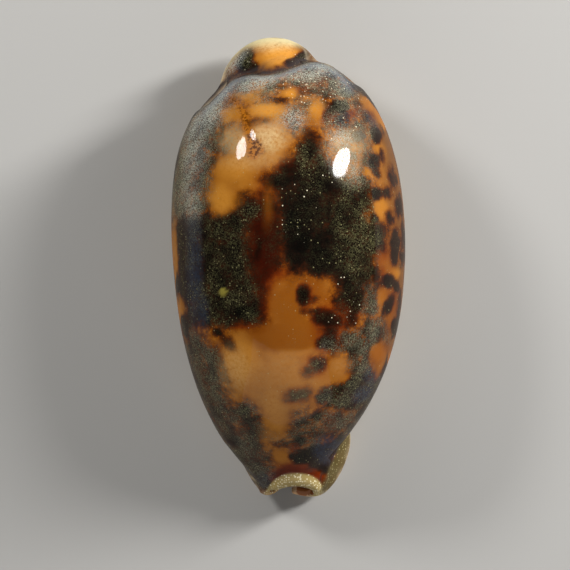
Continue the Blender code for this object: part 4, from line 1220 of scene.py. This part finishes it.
def tortoiseshell_enamel():
    """Shell enamel: aragonite laid down in clear coats over brown pigment and polished by the living mantle.

    It gives deep colour under a hard gloss, blotches with stippled edges, and fine pale grains in the coats.
    """
    material, tree, shader = new_material("polished_shell_enamel")
    fields = {
        name: add_node(tree, "ShaderNodeAttribute", attribute_name=name).outputs["Fac"]
        for name in PAINTED_FIELDS
    }
    coordinates = add_node(tree, "ShaderNodeTexCoord").outputs["Object"]
    scaled = add_node(tree, "ShaderNodeVectorMath", {0: coordinates, "Scale": 1.0 / MM}, operation="SCALE")
    place = scaled.outputs[0]
    noises = {}
    for name, size, detail in NOISES:
        inputs = {"Vector": place, "Scale": 1.0 / size, "Detail": detail, "Roughness": 0.6}
        noises[name] = add_node(tree, "ShaderNodeTexNoise", inputs).outputs["Fac"]

    tone = fields["dark"]
    for name, strength in EDGE_NOISES:
        centred = {0: noises[name], 1: strength, 2: -0.5 * strength}
        centred = add_node(tree, "ShaderNodeMath", centred, operation="MULTIPLY_ADD").outputs[0]
        added = {0: centred, 1: fields["broken"], 2: tone}
        tone = add_node(tree, "ShaderNodeMath", added, operation="MULTIPLY_ADD").outputs[0]
    pigments = []
    for stops in (PIGMENT, WARM_PIGMENT):
        pigment = add_node(tree, "ShaderNodeValToRGB", {"Fac": tone})
        set_ramp(pigment, stops)
        pigments.append(pigment.outputs["Color"])
    mixed = {0: fields["warm"], 6: pigments[0], 7: pigments[1]}
    colour = add_node(tree, "ShaderNodeMix", mixed, data_type="RGBA").outputs[2]

    for name, broken_by, low, high, strength, tint in COATS:
        limits = {"Value": noises[broken_by], "From Min": low, "From Max": high}
        broken = add_node(tree, "ShaderNodeMapRange", limits, interpolation_type="SMOOTHSTEP").outputs[0]
        there = {0: fields[name], 1: broken}
        share = add_node(tree, "ShaderNodeMath", there, operation="MULTIPLY", use_clamp=True).outputs[0]
        share = add_node(tree, "ShaderNodeMath", {0: share, 1: strength}, operation="MULTIPLY").outputs[0]
        mixed = {0: share, 6: colour, 7: linear(tint)}
        colour = add_node(tree, "ShaderNodeMix", mixed, data_type="RGBA").outputs[2]

    for name, spacing, radius, chance, strength, tint in GRAINS:
        spaced = {"Vector": place, "Scale": 1.0 / spacing}
        cells = add_node(tree, "ShaderNodeTexVoronoi", spaced, feature="F1")
        drawn = add_node(tree, "ShaderNodeSeparateColor", {0: cells.outputs["Color"]}).outputs
        likely = {0: fields[name], 1: chance}
        limit = add_node(tree, "ShaderNodeMath", likely, operation="MULTIPLY").outputs[0]
        there = add_node(tree, "ShaderNodeMath", {0: drawn[0], 1: limit}, operation="LESS_THAN").outputs[0]
        sized = {0: drawn[1], 1: radius / spacing, 2: SMALLEST_GRAIN * radius / spacing}
        reach = add_node(tree, "ShaderNodeMath", sized, operation="MULTIPLY_ADD").outputs[0]
        depth = {0: reach, 1: cells.outputs["Distance"]}
        inside = add_node(tree, "ShaderNodeMath", depth, operation="SUBTRACT").outputs[0]
        limits = {"Value": inside, "From Min": GRAIN_EDGE[0], "From Max": GRAIN_EDGE[1], "To Max": strength}
        spot = add_node(tree, "ShaderNodeMapRange", limits, interpolation_type="SMOOTHSTEP").outputs[0]
        share = add_node(tree, "ShaderNodeMath", {0: spot, 1: there}, operation="MULTIPLY").outputs[0]
        mixed = {0: share, 6: colour, 7: linear(tint)}
        colour = add_node(tree, "ShaderNodeMix", mixed, data_type="RGBA").outputs[2]
    tree.links.new(colour, shader.inputs["Base Color"])

    # The polished top coat gives all the gloss, and the body under it only scatters light.
    shader.inputs["Roughness"].default_value = 0.22
    shader.inputs["IOR"].default_value = 1.55
    shader.inputs["Specular IOR Level"].default_value = 0.0
    shader.inputs["Coat Weight"].default_value = 0.32
    shader.inputs["Coat Roughness"].default_value = 0.05
    granular = {0: fields["callus"], 1: 1.5, 2: 0.25}
    height = add_node(tree, "ShaderNodeMath", granular, operation="MULTIPLY_ADD").outputs[0]
    grained = {0: noises["grain"], 1: height}
    height = add_node(tree, "ShaderNodeMath", grained, operation="MULTIPLY").outputs[0]
    bump = add_node(tree, "ShaderNodeBump", {"Strength": 0.3, "Distance": 0.1 * MM, "Height": height})
    tree.links.new(bump.outputs["Normal"], shader.inputs["Normal"])
    return material


def painted_board():
    """Board under matt paint: an even pale ground that takes a soft shadow and mirrors nothing."""
    material, _, shader = new_material("matt_painted_board")
    shader.inputs["Base Color"].default_value = linear("AEACA8")
    shader.inputs["Roughness"].default_value = 0.8
    return material


FLOOR_SIZE = 12.0


def lay_floor():
    deselect_all()
    bpy.ops.mesh.primitive_plane_add(size=FLOOR_SIZE)
    floor = bpy.context.object
    floor.name = floor.data.name = "floor"
    floor.data.materials.append(painted_board())


# Panels of light that face the shell, in metres: name, outline, direction to it, size and radiance.
PANEL_DISTANCE = 0.7
PANELS = (
    ("front_panel", "RECTANGLE", (0.0, -0.90, 0.43), (1.0, 0.85), 0.86),
    ("back_glow", "ELLIPSE", (-0.36, 0.62, 0.70), (0.45, 0.2), 1.8),
    ("key", "ELLIPSE", (0.77, 0.38, 0.51), (0.11, 0.31), 68.0),
    ("key_glow", "ELLIPSE", (0.74, 0.46, 0.50), (0.24, 0.42), 3.0),
    ("second", "ELLIPSE", (-0.63, 0.51, 0.59), (0.19, 0.12), 46.0),
)
WORLD_LIGHT = 0.05


def light_scene():
    for name, outline, towards, size, radiance in PANELS:
        direction = Vector(towards).normalized()
        lamp = bpy.data.lights.new(name, "AREA")
        lamp.shape = outline
        lamp.size, lamp.size_y = size
        filled = 1.0 if outline == "RECTANGLE" else 0.25 * math.pi
        lamp.energy = radiance * filled * size[0] * size[1] * math.pi
        placed = bpy.data.objects.new(name, lamp)
        bpy.context.scene.collection.objects.link(placed)
        placed.location = direction * PANEL_DISTANCE
        placed.rotation_euler = direction.to_track_quat("Z", "Y").to_euler()
    world = bpy.data.worlds.new("studio")
    world.use_nodes = True
    world.node_tree.nodes["Background"].inputs["Color"].default_value = (WORLD_LIGHT,) * 3 + (1.0,)
    bpy.context.scene.world = world


def add_camera():
    """Straight above, with the spire end up in the picture."""
    lens = bpy.data.cameras.new("camera")
    placed = bpy.data.objects.new("camera", lens)
    bpy.context.scene.collection.objects.link(placed)
    x, y = CAMERA_PLAN + CENTRE_SHIFT[:2]
    placed.location = Vector((x, y, CAMERA_HEIGHT)) * MM
    lens.sensor_width = 36.0
    lens.lens = lens.sensor_width * (CAMERA_HEIGHT - MARGIN_Z) / PICTURE_WIDTH
    lens.clip_start = 0.01
    bpy.context.scene.camera = placed


def plain(box):
    return [list(corner) for corner in box]


shell = wind_shell()
smooth_front_corner(shell)
carve(shell)
paint(shell)
shell.data.materials.append(tortoiseshell_enamel())
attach(shell, "root")
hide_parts("cowrie_shell")
lay_floor()
light_scene()
add_camera()
bpy.context.scene.view_settings.view_transform = "Standard"
